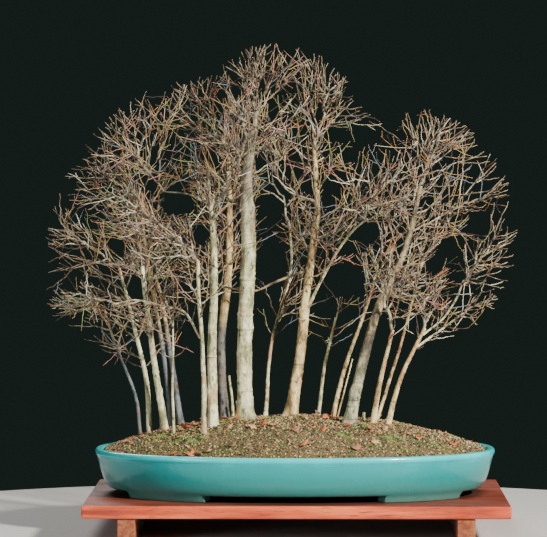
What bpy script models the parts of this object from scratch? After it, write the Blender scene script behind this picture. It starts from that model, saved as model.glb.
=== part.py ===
"""A bare trident maple forest, planted as one bonsai in a glazed oval pot on a wooden stand.

Metres, +Z up. +X runs to the right and +Y to the back, as the planting is seen from its front.
Every place below is measured from the middle of the pot, at the level that the stand rests on.
The whole planting then moves by PLANTING_SHIFT, so that the origin is below its middle.
"""

import math
import random

import bmesh
import bpy
from mathutils import Vector, noise

UP = Vector((0.0, 0.0, 1.0))
AIR = 0.0003  # left between pieces that touch
PLANTING_SHIFT = Vector((0.0245, 0.0, 0.0))

# The stand: a board on two runners.
BOARD_LENGTH = 0.786
BOARD_DEPTH = 0.564
BOARD_THICKNESS = 0.024
BOARD_EDGE = 0.003
RUNNER_HEIGHT = 0.046
RUNNER_WIDTH = 0.033
RUNNER_DEPTH = 0.552
RUNNER_SPREAD = 0.311
STAND_ASIDE = 0.004  # the board lies a little to the right of the pot's middle
BOARD_TOP = RUNNER_HEIGHT + AIR + BOARD_THICKNESS

# The pot: ovals of one fullness, set in from the rim by the first number at the height of the second.
RIM_LENGTH = 0.760
RIM_DEPTH = 0.545
OVAL_FULLNESS = 2.25
OVAL_SIDES = 36
FOOT_HEIGHT = 0.009
FOOT_WIDTH = 0.024
FOOT_SLOPE = 0.004
POT_FLOOR = BOARD_TOP + FOOT_HEIGHT + 2 * AIR
POT_OUTSIDE = (
    (0.0310, 0.000),
    (0.0250, 0.004),
    (0.0190, 0.012),
    (0.0140, 0.024),
    (0.0088, 0.041),
    (0.0040, 0.061),
    (0.0005, 0.067),
    (0.0000, 0.072),
    (0.0035, 0.077),
)
POT_INSIDE = ((0.0140, 0.077), (0.0175, 0.073), (0.0250, 0.045), (0.0370, 0.019), (0.0520, 0.012))
FOOT_SPANS = ((29.0, 64.0), (116.0, 151.0), (209.0, 244.0), (296.0, 331.0))  # degrees round the oval

# The soil: it fills the pot and rises to a low mound, with low swells and cushions of moss on it.
SOIL_EDGE = 0.074
MOUND_RISE = 0.060
MOUND_POWER = 2.4
MOUND_RINGS = 9
SWELL_HEIGHT = 0.0032
SWELLS_TO_A_METRE = 15.0
CUSHION_HEIGHT = 0.0034
FOOT_SINK = 0.003  # how far a stem's foot stands below the soil's surface
MOSS_CUSHIONS = (
    (-0.255, -0.095, 0.036),
    (-0.215, -0.140, 0.030),
    (-0.180, -0.155, 0.034),
    (-0.130, -0.055, 0.024),
    (-0.046, -0.045, 0.028),
    (0.000, -0.010, 0.022),
    (0.093, -0.165, 0.022),
    (0.128, -0.090, 0.022),
    (0.182, -0.150, 0.032),
    (0.207, -0.195, 0.022),
    (0.270, -0.130, 0.026),
    (-0.300, 0.040, 0.026),
    (-0.200, 0.120, 0.036),
    (-0.060, 0.170, 0.030),
    (0.070, 0.120, 0.030),
    (0.190, 0.080, 0.026),
    (0.290, 0.040, 0.020),
)

# Stems: foot (x, y), bends on the way up (x, z), tip (x, y, z), radii at foot and tip, root flare.
STEMS = {
    "stem_01": (
        (-0.296, 0.040),
        ((-0.306, 0.253), (-0.341, 0.339)),
        (-0.366, 0.050, 0.419),
        (0.0036, 0.0020),
        0.3,
    ),
    "stem_02": (
        (-0.277, 0.000),
        ((-0.282, 0.275), (-0.302, 0.370)),
        (-0.334, 0.000, 0.497),
        (0.0055, 0.0026),
        0.4,
    ),
    "stem_03": (
        (-0.246, -0.020),
        ((-0.261, 0.286), (-0.273, 0.372)),
        (-0.288, -0.060, 0.502),
        (0.0070, 0.0038),
        0.4,
    ),
    "stem_04": (
        (-0.239, 0.080),
        ((-0.249, 0.298), (-0.288, 0.531)),
        (-0.294, 0.100, 0.625),
        (0.0056, 0.0028),
        0.4,
    ),
    "stem_05": (
        (-0.227, -0.090),
        ((-0.229, 0.271),),
        (-0.227, -0.110, 0.407),
        (0.0028, 0.0016),
        0.2,
    ),
    "stem_06": (
        (-0.218, 0.050),
        ((-0.237, 0.308), (-0.255, 0.417)),
        (-0.271, 0.120, 0.480),
        (0.0064, 0.0030),
        0.4,
    ),
    "stem_07": (
        (-0.169, -0.120),
        ((-0.170, 0.311), (-0.177, 0.442)),
        (-0.179, -0.170, 0.517),
        (0.0050, 0.0030),
        0.4,
    ),
    "stem_08": (
        (-0.154, -0.070),
        ((-0.156, 0.344), (-0.152, 0.510)),
        (-0.164, -0.040, 0.664),
        (0.0090, 0.0034),
        0.5,
    ),
    "stem_09": (
        (-0.134, 0.060),
        ((-0.142, 0.348), (-0.127, 0.507)),
        (-0.127, 0.070, 0.708),
        (0.0080, 0.0036),
        0.5,
    ),
    "stem_10": ((-0.120, 0.090), ((-0.122, 0.244),), (-0.128, 0.090, 0.287), (0.0032, 0.0022), 0.2),
    "main_trunk": (
        (-0.093, -0.030),
        ((-0.096, 0.343), (-0.088, 0.520), (-0.091, 0.664)),
        (-0.076, -0.020, 0.770),
        (0.0138, 0.0050),
        0.5,
    ),
    "stem_11": (
        (-0.057, 0.030),
        ((-0.046, 0.347), (-0.022, 0.433), (-0.008, 0.500)),
        (-0.012, 0.145, 0.584),
        (0.0037, 0.0022),
        0.5,
    ),
    "tall_trunk": (
        (-0.009, 0.010),
        ((0.010, 0.331), (0.024, 0.464), (0.042, 0.611)),
        (0.036, 0.030, 0.725),
        (0.0103, 0.0036),
        0.55,
    ),
    "stem_12": ((0.044, 0.050), ((0.057, 0.310),), (0.078, 0.060, 0.400), (0.0038, 0.0022), 0.3),
    "stem_13": (
        (0.072, 0.060),
        ((0.096, 0.304), (0.141, 0.428)),
        (0.160, 0.150, 0.497),
        (0.0046, 0.0024),
        0.3,
    ),
    "leaning_trunk": (
        (0.102, -0.070),
        ((0.128, 0.322), (0.163, 0.438), (0.208, 0.533)),
        (0.238, -0.050, 0.657),
        (0.0102, 0.0038),
        0.5,
    ),
    "stem_14": ((0.147, -0.050), ((0.160, 0.282),), (0.184, -0.080, 0.383), (0.0056, 0.0030), 0.4),
    "stem_15": (
        (0.155, 0.020),
        ((0.193, 0.320), (0.226, 0.436)),
        (0.237, 0.060, 0.488),
        (0.0034, 0.0020),
        0.3,
    ),
    "stem_16": ((0.175, -0.040), ((0.202, 0.295),), (0.245, -0.050, 0.385), (0.0052, 0.0032), 0.4),
}
# How far up a stem stays as thick as at its foot: 1 is an even taper.
THICK_STEMS = {"main_trunk": 5.0, "stem_09": 3.0, "stem_08": 1.8, "tall_trunk": 1.5, "leaning_trunk": 1.3}
FLARE_REACH = 2.0  # in radii of the foot

# Boughs: the limb that carries it, the height where it leaves, points on its way to the tip, two radii.
BOUGHS = {
    "right_bough": (
        "tall_trunk",
        0.425,
        ((0.067, -0.010, 0.507), (0.104, -0.055, 0.563), (0.132, -0.090, 0.590)),
        (0.0042, 0.0024),
    ),
    "inner_bough": (
        "tall_trunk",
        0.624,
        ((-0.006, 0.020, 0.639), (-0.027, 0.010, 0.660), (-0.040, 0.000, 0.680)),
        (0.0030, 0.0020),
    ),
    "crest_bough": ("stem_08", 0.619, ((-0.200, -0.040, 0.637), (-0.251, -0.035, 0.643)), (0.0028, 0.0020)),
    "low_left_bough": (
        "stem_07",
        0.371,
        ((-0.207, -0.120, 0.418), (-0.253, -0.090, 0.430), (-0.298, -0.070, 0.439), (-0.335, -0.050, 0.431)),
        (0.0030, 0.0018),
    ),
    "crossing_bough": (
        "tall_trunk",
        0.489,
        ((-0.036, 0.020, 0.470), (-0.076, 0.020, 0.453), (-0.124, 0.015, 0.459), (-0.148, 0.010, 0.465)),
        (0.0034, 0.0020),
    ),
    "lower_arc": ("stem_16", 0.352, ((0.279, -0.050, 0.385), (0.305, -0.060, 0.405)), (0.0030, 0.0022)),
    "upper_arc": ("stem_16", 0.374, ((0.280, -0.035, 0.402), (0.301, -0.030, 0.432)), (0.0026, 0.0022)),
    "high_right_bough": ("stem_15", 0.478, ((0.249, 0.057, 0.517), (0.277, 0.050, 0.545)), (0.0018, 0.0017)),
    "front_bough": ("stem_08", 0.590, ((-0.136, -0.090, 0.636), (-0.109, -0.130, 0.680)), (0.0028, 0.0020)),
}

# Masses of twigs: the limb whose tip each grows from, the middle of its space and the space's half-sizes.
MASSES = {
    "low_left_twigs": ("stem_01", (-0.385, 0.036, 0.430), (0.110, 0.130, 0.095)),
    "mid_left_twigs": ("stem_02", (-0.400, 0.000, 0.545), (0.125, 0.160, 0.120)),
    "high_left_twigs": ("stem_04", (-0.335, 0.070, 0.655), (0.135, 0.170, 0.130)),
    "left_crest_twigs": ("crest_bough", (-0.262, -0.040, 0.740), (0.130, 0.180, 0.130)),
    "top_left_twigs": ("stem_09", (-0.165, 0.050, 0.800), (0.120, 0.180, 0.120)),
    "top_twigs": ("main_trunk", (-0.070, -0.030, 0.830), (0.120, 0.180, 0.130)),
    "top_right_twigs": ("tall_trunk", (0.055, 0.030, 0.795), (0.130, 0.180, 0.135)),
    "right_crest_twigs": ("leaning_trunk", (0.243, -0.040, 0.710), (0.125, 0.180, 0.120)),
    "high_right_twigs": ("high_right_bough", (0.320, 0.040, 0.640), (0.120, 0.160, 0.120)),
    "mid_right_twigs": ("upper_arc", (0.360, -0.020, 0.535), (0.115, 0.150, 0.110)),
    "low_right_twigs": ("lower_arc", (0.322, -0.065, 0.430), (0.095, 0.130, 0.085)),
    "under_right_twigs": ("stem_16", (0.245, -0.040, 0.455), (0.080, 0.130, 0.085)),
    "front_left_twigs": ("stem_07", (-0.255, -0.180, 0.590), (0.120, 0.140, 0.140)),
    "front_twigs": ("front_bough", (-0.085, -0.180, 0.755), (0.140, 0.140, 0.110)),
    "front_right_twigs": ("right_bough", (0.140, -0.170, 0.625), (0.130, 0.140, 0.130)),
    "back_left_twigs": ("stem_06", (-0.270, 0.180, 0.580), (0.150, 0.150, 0.160)),
    "back_twigs": ("stem_11", (-0.050, 0.190, 0.690), (0.170, 0.150, 0.180)),
    "back_right_twigs": ("stem_13", (0.195, 0.180, 0.610), (0.160, 0.150, 0.160)),
    "inner_right_twigs": ("stem_14", (0.160, -0.090, 0.485), (0.090, 0.120, 0.100)),
    "inner_twigs": ("inner_bough", (-0.035, -0.010, 0.700), (0.100, 0.150, 0.100)),
    "inner_left_twigs": ("stem_08", (-0.150, -0.060, 0.655), (0.100, 0.140, 0.100)),
    "under_left_twigs": ("low_left_bough", (-0.345, -0.085, 0.455), (0.095, 0.130, 0.095)),
    "under_middle_twigs": ("crossing_bough", (-0.180, 0.000, 0.500), (0.095, 0.130, 0.095)),
}
# The crown's outline is three domes: the left, the top over the tallest trunks, and the lower right.
CROWN_DOMES = (
    ((-0.160, 0.000, 0.500), (0.317, 0.288, 0.362)),
    ((-0.035, 0.000, 0.620), (0.216, 0.288, 0.305)),
    ((0.216, 0.000, 0.566), (0.207, 0.270, 0.237)),
)
CROWN_HEART = Vector((-0.020, 0.000, 0.450))
SPACE_WALL = 0.0024  # how far a twig's line stays inside the wall between two masses

# Gaps that show the sky through the crown from the front: middle (x, z) and half-sizes.
EYE = Vector((0.038, -6.8, 0.687))
GAPS = (
    (-0.222, 0.621, 0.030, 0.021),
    (-0.279, 0.657, 0.017, 0.013),
    (-0.338, 0.721, 0.009, 0.009),
    (-0.152, 0.702, 0.011, 0.015),
    (-0.038, 0.626, 0.030, 0.034),
    (-0.042, 0.788, 0.011, 0.019),
    (-0.063, 0.693, 0.009, 0.027),
    (-0.180, 0.564, 0.015, 0.015),
    (0.085, 0.748, 0.030, 0.009),
    (0.171, 0.731, 0.009, 0.009),
    (0.066, 0.649, 0.013, 0.009),
    (0.066, 0.621, 0.019, 0.013),
    (0.019, 0.655, 0.009, 0.009),
    (0.133, 0.565, 0.027, 0.021),
    (0.285, 0.712, 0.011, 0.008),
    (0.351, 0.573, 0.023, 0.015),
    (0.332, 0.651, 0.009, 0.008),
    (0.294, 0.541, 0.019, 0.015),
    (-0.047, 0.503, 0.027, 0.047),
    (0.095, 0.474, 0.038, 0.028),
    (0.095, 0.535, 0.019, 0.011),
    (0.266, 0.503, 0.015, 0.015),
    (0.199, 0.531, 0.008, 0.027),
    (-0.304, 0.455, 0.015, 0.019),
    (-0.336, 0.535, 0.013, 0.015),
)
GAP_RAGGEDNESS = 60.0

# How twigs branch, by order: the mass's own stem, its side twigs, and theirs.
PAIR_PLACES = (0.20, 0.46, 0.72)
PAIR_SPACING = 0.075
ORDERS = 2
TWIG_RADII = ((0.0022, 0.0014), (0.0016, 0.0), (0.0012, 0.0))
LENGTH_SHARES = ((1.0, 1.0), (0.70, 1.0), (0.62, 0.95))
SPREAD_ANGLES = ((0, 0), (38, 66), (34, 60))
LIFT = 0.16
OUTWARD = 0.25  # how strongly twigs turn away from the crown's heart
SHARPEST_TURN = 68  # degrees between a limb's tip and the stem of its mass
SHORTEST_TWIG = 0.014

BARK_PALE = (0.52, 0.47, 0.37)
BARK_GREY = (0.27, 0.28, 0.27)
TWIG_TAN = (0.42, 0.30, 0.20)
GREY_STEMS = ("stem_01", "stem_04", "stem_06", "stem_09", "stem_10")


def clear_scene():
    for old in list(bpy.data.objects):
        bpy.data.objects.remove(old, do_unlink=True)


def give_material(piece, colour, roughness, metallic=0.0):
    material = bpy.data.materials.new(piece.name)
    material.use_nodes = True
    shader = material.node_tree.nodes["Principled BSDF"]
    shader.inputs["Base Color"].default_value = (*colour, 1.0)
    shader.inputs["Roughness"].default_value = roughness
    shader.inputs["Metallic"].default_value = metallic
    piece.data.materials.append(material)


def add_piece(name, bm, smooth=True):
    """Makes an object of the finished bmesh."""
    bmesh.ops.recalc_face_normals(bm, faces=bm.faces)
    mesh = bpy.data.meshes.new(name)
    bm.to_mesh(mesh)
    bm.free()
    piece = bpy.data.objects.new(name, mesh)
    bpy.context.scene.collection.objects.link(piece)
    piece.location = PLANTING_SHIFT
    if smooth:
        mesh.shade_smooth()
        mesh.set_sharp_from_angle(angle=math.radians(40))
    return piece


def add_rings(bm, rings):
    """Joins rings of points, one after the other, and closes the ends. A last ring of one point is a tip."""
    made = [[bm.verts.new(point) for point in ring] for ring in rings]
    for low, high in zip(made, made[1:]):
        count = len(low)
        for step in range(count):
            ahead = (step + 1) % count
            if len(high) == 1:
                bm.faces.new((low[step], low[ahead], high[0]))
            else:
                bm.faces.new((low[step], low[ahead], high[ahead], high[step]))
    bm.faces.new(made[0])
    if len(made[-1]) > 1:
        bm.faces.new(made[-1])


# Stand


def board_piece(name, size, centre, edge):
    """A wooden board or runner with its edges eased."""
    bm = bmesh.new()
    bmesh.ops.create_cube(bm, size=1.0)
    bmesh.ops.scale(bm, vec=size, verts=bm.verts)
    bmesh.ops.translate(bm, vec=centre, verts=bm.verts)
    bmesh.ops.bevel(bm, geom=bm.edges, offset=edge, segments=2, profile=0.5, affect="EDGES", material=-1)
    piece = add_piece(name, bm)
    give_material(piece, (0.42, 0.11, 0.06), 0.55)


def make_stand():
    board_middle = (STAND_ASIDE, 0.0, BOARD_TOP - BOARD_THICKNESS / 2)
    board_piece("stand_board", (BOARD_LENGTH, BOARD_DEPTH, BOARD_THICKNESS), board_middle, BOARD_EDGE)
    for name, side in (("stand_runner_left", -1), ("stand_runner_right", 1)):
        middle = (STAND_ASIDE + side * RUNNER_SPREAD, 0.0, RUNNER_HEIGHT / 2)
        board_piece(name, (RUNNER_WIDTH, RUNNER_DEPTH, RUNNER_HEIGHT), middle, BOARD_EDGE / 2)


# Pot


def oval_point(angle, inset, height):
    """A point of the pot's oval, set in from the rim."""
    power = 2 / OVAL_FULLNESS
    across = math.copysign(abs(math.cos(angle)) ** power, math.cos(angle))
    deep = math.copysign(abs(math.sin(angle)) ** power, math.sin(angle))
    return Vector(((RIM_LENGTH / 2 - inset) * across, (RIM_DEPTH / 2 - inset) * deep, height))


def oval_ring(inset, height):
    return [oval_point(math.tau * step / OVAL_SIDES, inset, height) for step in range(OVAL_SIDES)]


def make_pot():
    bm = bmesh.new()
    profile = POT_OUTSIDE + POT_INSIDE
    add_rings(bm, [oval_ring(inset, POT_FLOOR + height) for inset, height in profile])
    piece = add_piece("pot", bm)
    give_material(piece, (0.09, 0.40, 0.40), 0.12)


def make_feet():
    """Four low feet, each a stretch of the oval under the pot's edge."""
    for number, (begin, end) in enumerate(FOOT_SPANS, 1):
        rings = []
        for step in range(7):
            angle = math.radians(begin + (end - begin) * step / 6)
            outer = POT_OUTSIDE[0][0] + FOOT_SLOPE
            inner = outer + FOOT_WIDTH
            corners = ((outer, 0.0), (inner, 0.0), (inner, 1.0), (outer - FOOT_SLOPE + 2 * AIR, 1.0))
            low = BOARD_TOP + AIR
            rings.append([oval_point(angle, inset, low + top * FOOT_HEIGHT) for inset, top in corners])
        bm = bmesh.new()
        add_rings(bm, rings)
        piece = add_piece(f"pot_foot_{number}", bm)
        give_material(piece, (0.16, 0.27, 0.23), 0.25)


# Soil


def mound_height(x, y):
    """Height of the soil's surface. Swells and cushions fade out toward the pot's wall."""
    edge = POT_INSIDE[1][0] + 2 * AIR
    out = min(math.hypot(x / (RIM_LENGTH / 2 - edge), y / (RIM_DEPTH / 2 - edge)), 1.0)
    lumps = SWELL_HEIGHT * noise.noise(Vector((x, y, 0.0)) * SWELLS_TO_A_METRE)
    for middle_x, middle_y, radius in MOSS_CUSHIONS:
        lumps += CUSHION_HEIGHT * math.exp(-((x - middle_x) ** 2 + (y - middle_y) ** 2) / radius**2)
    return POT_FLOOR + SOIL_EDGE + MOUND_RISE * (1 - out**MOUND_POWER) + lumps * min(1.0, 4 * (1 - out))


def foot_level(x, y, radius):
    """The lowest that the soil lies under a foot."""
    around = [math.tau * step / 8 for step in range(8)]
    return min(mound_height(x + radius * math.cos(a), y + radius * math.sin(a)) for a in around) - FOOT_SINK


def make_soil():
    bm = bmesh.new()
    rings = []
    for inset, height in reversed(POT_INSIDE[1:]):
        lift = AIR if height == POT_INSIDE[-1][1] else 0.0
        rings.append(oval_ring(inset + 2 * AIR, POT_FLOOR + height + lift))
    edge = oval_ring(POT_INSIDE[1][0] + 2 * AIR, 0.0)
    for step in range(MOUND_RINGS):
        share = 1 - (step + 0.5) / MOUND_RINGS
        inner = [(point.x * share, point.y * share) for point in edge]
        rings.append([Vector((x, y, mound_height(x, y))) for x, y in inner])
    add_rings(bm, rings)
    soil = add_piece("soil", bm)
    give_material(soil, (0.16, 0.10, 0.06), 0.95)
    seats = bpy.data.collections.new("stem_seats")
    bpy.context.scene.collection.children.link(seats)
    for name, (foot, bends, tip, radii, flare) in STEMS.items():
        radius = radii[0] * (1 + flare) * 1.1 + 0.001
        level = foot_level(*foot, radius)
        bm = bmesh.new()
        place = Vector((foot[0], foot[1], level + 0.015))
        bmesh.ops.create_cone(bm, cap_ends=True, segments=8, radius1=radius, radius2=radius, depth=0.030)
        bmesh.ops.translate(bm, vec=place, verts=bm.verts)
        seat = add_piece(name + "_seat", bm)
        seat.hide_render = True
        seat.display_type = "WIRE"
        bpy.context.scene.collection.objects.unlink(seat)
        seats.objects.link(seat)
    cut = soil.modifiers.new("seats", "BOOLEAN")
    cut.operation = "DIFFERENCE"
    cut.operand_type = "COLLECTION"
    cut.collection = seats


# Stems and boughs


def smooth_route(points, count):
    """Points of one smooth curve that passes through all the given ones."""
    first = points[0] * 2 - points[1]
    last = points[-1] * 2 - points[-2]
    posts = [first, *points, last]
    route = []
    for step in range(count + 1):
        place = step / count * (len(points) - 1)
        begin = min(int(place), len(points) - 2)
        t = place - begin
        a, b, c, d = posts[begin : begin + 4]
        route.append(
            0.5 * (2 * b + (c - a) * t + (2 * a - 5 * b + 4 * c - d) * t**2 + (3 * b - a - 3 * c + d) * t**3)
        )
    return route


def ring_round(centre, normal, side, radius, count):
    """A ring of points square to the normal, and the direction of its first point."""
    side = (side - normal * side.dot(normal)).normalized()
    across = normal.cross(side)
    ring = []
    for step in range(count):
        angle = math.tau * step / count
        ring.append(centre + (side * math.cos(angle) + across * math.sin(angle)) * radius)
    return ring, side


def limb_body(name, route, radii, first_normal, sides, colour):
    """A tapering round limb along the route."""
    side = Vector((1.0, 0.3, 0.1)) if abs(first_normal.x) < 0.9 else Vector((0.1, 1.0, 0.3))
    rings = []
    for step, (centre, radius) in enumerate(zip(route, radii)):
        before = route[max(step - 1, 0)]
        after = route[min(step + 1, len(route) - 1)]
        normal = first_normal if step == 0 else (after - before).normalized()
        ring, side = ring_round(centre, normal, side, radius, sides)
        rings.append(ring)
    bm = bmesh.new()
    add_rings(bm, rings)
    piece = add_piece(name, bm)
    give_material(piece, colour, 0.8)


def sides_for(radius):
    return 10 if radius > 0.010 else 6 if radius > 0.0045 else 5


def stem_route(name):
    """The stem's middle line from its flat foot to its tip, with a radius at each point."""
    foot, bends, tip, radii, flare = STEMS[name]
    start = Vector((*foot, foot_level(*foot, radii[0] * (1 + flare) * 1.1 + 0.001) + AIR))
    tip = Vector(tip)
    posts = [start]
    for x, z in bends:
        share = (z - start.z) / (tip.z - start.z)
        posts.append(Vector((x, start.y + (tip.y - start.y) * share, z)))
    posts.append(tip)
    count = 10 if radii[0] > 0.010 else 7 if radii[0] > 0.0045 else 5
    route = smooth_route(posts, count)
    first_leg = route[1] - route[0]
    swell = [route[0] + first_leg * (radii[0] * share / first_leg.length) for share in (0.8, 2.6)]
    route[1:1] = swell
    sizes = []
    for point in route:
        grown = (point.z - start.z) / (tip.z - start.z)
        taper = radii[0] + (radii[1] - radii[0]) * grown ** THICK_STEMS.get(name, 0.9)
        sizes.append(taper * (1 + flare * math.exp(-(point.z - start.z) / (FLARE_REACH * radii[0]))))
    return route, sizes


def bough_route(name, limbs):
    """The bough's middle line from just clear of the limb that carries it, and its radii."""
    carrier, height, way, radii = BOUGHS[name]
    line, sizes = limbs[carrier]
    above = next(i for i, point in enumerate(line) if point.z > height)
    share = (height - line[above - 1].z) / (line[above].z - line[above - 1].z)
    root = line[above - 1].lerp(line[above], share)
    along = (line[above] - line[above - 1]).normalized()
    out = Vector(way[0]) - root
    out = (out - along * out.dot(along)).normalized()
    carrier_radius = sizes[above - 1] + (sizes[above] - sizes[above - 1]) * share
    start = root + out * (carrier_radius + AIR)
    posts = [start, *(Vector(point) for point in way)]
    count = 2 * len(way) + 1
    route = smooth_route(posts, count)
    sizes = [radii[0] + (radii[1] - radii[0]) * step / count for step in range(count + 1)]
    return route, sizes, out


def make_limbs():
    """All the stems and boughs, and their middle lines."""
    limbs = {}
    for name in STEMS:
        route, sizes = stem_route(name)
        limbs[name] = (route, sizes)
        colour = BARK_GREY if name in GREY_STEMS else BARK_PALE
        limb_body(name, route, sizes, UP, sides_for(STEMS[name][3][0]), colour)
    for name in BOUGHS:
        route, sizes, out = bough_route(name, limbs)
        limbs[name] = (route, sizes)
        limb_body(name, route, sizes, out, 5, BARK_PALE)
    return limbs


# Masses of twigs


def nearest_gap(a, b, c, d):
    """Shortest distance between the straight lines from a to b and from c to d."""
    u, v, w = b - a, d - c, a - c
    uu, vv, uv = u.dot(u), v.dot(v), u.dot(v)
    uw, vw = u.dot(w), v.dot(w)
    span = uu * vv - uv * uv
    s = min(max((uv * vw - vv * uw) / span, 0.0), 1.0) if span > 1e-12 else 0.0
    t = min(max((uv * s + vw) / vv, 0.0), 1.0)
    s = min(max((uv * t - uw) / uu, 0.0), 1.0)
    return (w + u * s - v * t).length


def in_sky_gap(point):
    """Whether the point, seen from the front, stands before or behind one of the crown's gaps."""
    share = -EYE.y / (point.y - EYE.y)
    x = EYE.x + (point.x - EYE.x) * share
    z = EYE.z + (point.z - EYE.z) * share
    ragged = 1 + 0.6 * noise.noise(Vector((x, 0.0, z)) * GAP_RAGGEDNESS)
    return any(((x - gx) / rx) ** 2 + ((z - gz) / rz) ** 2 < ragged for gx, gz, rx, rz in GAPS)


def way_out(centre, half, start, heading):
    """How far it is from a point, along a heading, to the skin of an ellipsoid round it."""
    place = Vector([(start[i] - centre[i]) / half[i] for i in range(3)])
    pace = Vector([heading[i] / half[i] for i in range(3)])
    a, b, c = pace.dot(pace), place.dot(pace), place.dot(place) - 1
    if b * b <= a * c:
        return 0.0
    return max((math.sqrt(b * b - a * c) - b) / a, 0.0)


class Space:
    """The room of one mass: an ellipsoid, cut off by the crown's outline and by its neighbours."""

    def __init__(self, name):
        self.name = name
        self.limb, centre, self.half = MASSES[name]
        self.centre = Vector(centre)
        self.walls = []
        own = (sum(self.half) / 3) ** 2
        for other, (_, middle, half) in MASSES.items():
            if other == name:
                continue
            toward = Vector(middle) - self.centre
            far = toward.length
            normal = toward / far
            cut = (far * far + own - (sum(half) / 3) ** 2) / (2 * far)
            self.walls.append((normal, self.centre.dot(normal) + cut - SPACE_WALL))
        self.outward = (self.centre - CROWN_HEART).normalized()

    def reach(self, start, heading):
        """How far a twig can run that way before it leaves the space."""
        farthest = way_out(self.centre, self.half, start, heading)
        farthest = min(farthest, max(way_out(*dome, start, heading) for dome in CROWN_DOMES))
        for normal, offset in self.walls:
            room = offset - start.dot(normal)
            if room <= 0:
                return 0.0
            facing = heading.dot(normal)
            if facing > 0:
                farthest = min(farthest, room / facing)
        return farthest


def touches(line, radius, limbs, besides):
    """Whether a twig along this line would touch a limb."""
    for name, (route, sizes) in limbs.items():
        if name == besides:
            continue
        for begin in range(len(route) - 1):
            room = max(sizes[begin], sizes[begin + 1]) + radius + 2 * AIR
            for a, b in zip(line, line[1:]):
                if nearest_gap(a, b, route[begin], route[begin + 1]) < room:
                    return True
    return False


def own_stem(space, limbs):
    """The stem of a mass: from its limb's tip to the middle of its space, then out to the crown's edge."""
    route, sizes = limbs[space.limb]
    ahead = (route[-1] - route[-2]).normalized()
    start = route[-1] + ahead * AIR
    middle = start.lerp(space.centre, 0.75)
    if (space.centre - start).length < 0.5 * min(space.half):
        middle = space.centre + space.outward * 0.2 * min(space.half)
    if ahead.angle(middle - start) > math.radians(SHARPEST_TURN):
        middle += ahead * (middle - start).length * 0.6
    onward = (space.outward + (middle - start).normalized()).normalized()
    tip = middle + onward * space.reach(middle, onward) * 0.98
    return [start, middle, tip], ahead


def side_twig(space, limbs, start, heading, length, radius):
    """The line of a side twig, made shorter where it would touch a limb or fill a gap, or None."""
    for share in (1.0, 0.7, 0.45):
        first = min(0.5 * length * share, 0.8 * space.reach(start, heading))
        middle = start + heading * first
        lifted = (heading + UP * LIFT).normalized()
        second = min(0.5 * length * share, 0.96 * space.reach(middle, lifted))
        tip = middle + lifted * second
        if first < SHORTEST_TWIG / 2 or second < SHORTEST_TWIG / 2:
            return None
        samples = (middle, middle.lerp(tip, 0.5), tip, start.lerp(middle, 0.5))
        if any(in_sky_gap(point) for point in samples):
            continue
        if not touches((start, middle, tip), radius, limbs, ""):
            return [start, middle, tip]
    return None


def point_along(line, share):
    """The point at this share of a two-legged line, and the line's direction there."""
    first = (line[1] - line[0]).length
    second = (line[2] - line[1]).length
    run = share * (first + second)
    if run < first:
        return line[0].lerp(line[1], run / first), (line[1] - line[0]).normalized()
    return line[1].lerp(line[2], (run - first) / second), (line[2] - line[1]).normalized()


def pair_places(order, length):
    """Where pairs of twigs leave a line, as shares of its length. A mass's own stem also forks at its tip."""
    if order == 1:
        return (*PAIR_PLACES, 0.97)
    count = 2 if length > 2 * PAIR_SPACING else 1
    return [(place + 1) / (count + 1) + 0.04 for place in range(count)]


def grow_pairs(space, limbs, line, order, key, twigs):
    """Opposite pairs of twigs along a line, each pair turned a quarter from the last."""
    chance = random.Random(key)
    own_length = (line[1] - line[0]).length + (line[2] - line[1]).length
    turn = chance.uniform(0, math.pi)
    for number, share in enumerate(pair_places(order, own_length)):
        root, ahead = point_along(line, share)
        side = ahead.cross(UP if abs(ahead.z) < 0.9 else Vector((1.0, 0.0, 0.0))).normalized()
        across = ahead.cross(side)
        for hand in (0, 1):
            angle = turn + (number + 2 * hand) * math.pi / 2 + chance.uniform(-0.3, 0.3)
            tilt = math.radians(chance.uniform(*SPREAD_ANGLES[order])) * (0.7 if share > 0.9 else 1)
            out = side * math.cos(angle) + across * math.sin(angle)
            heading = ahead * math.cos(tilt) + out * math.sin(tilt) + space.outward * OUTWARD
            heading.normalize()
            room = space.reach(root, heading) if order == 1 else own_length * (1.15 - 0.5 * share)
            length = chance.uniform(*LENGTH_SHARES[order]) * room
            grown = side_twig(space, limbs, root, heading, length, TWIG_RADII[order][0])
            if grown:
                name = f"{key}/{number}{hand}"
                twigs.append((order, name, grown))
                if order < ORDERS:
                    grow_pairs(space, limbs, grown, order + 1, name, twigs)


def twig_piece(name, line, order, first_normal=None):
    """A three-sided tapering twig. The last order is one straight spike."""
    thick, thin = TWIG_RADII[order]
    if order == ORDERS:
        line = (line[0], line[2])
    radii = [thick + (thin - thick) * step / (len(line) - 1) for step in range(len(line))]
    side = Vector((0.3, 1.0, 0.2))
    rings = []
    for step, (centre, radius) in enumerate(zip(line, radii)):
        begin = max(step - 1, 0)
        normal = (line[begin + 1] - line[begin]).normalized()
        if step == 0 and first_normal:
            normal = first_normal
        ring, side = ring_round(centre, normal, side, radius * 1.25, 3)
        rings.append(ring if radius else [centre])
    bm = bmesh.new()
    add_rings(bm, rings)
    return add_piece(name, bm, smooth=False)


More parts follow.
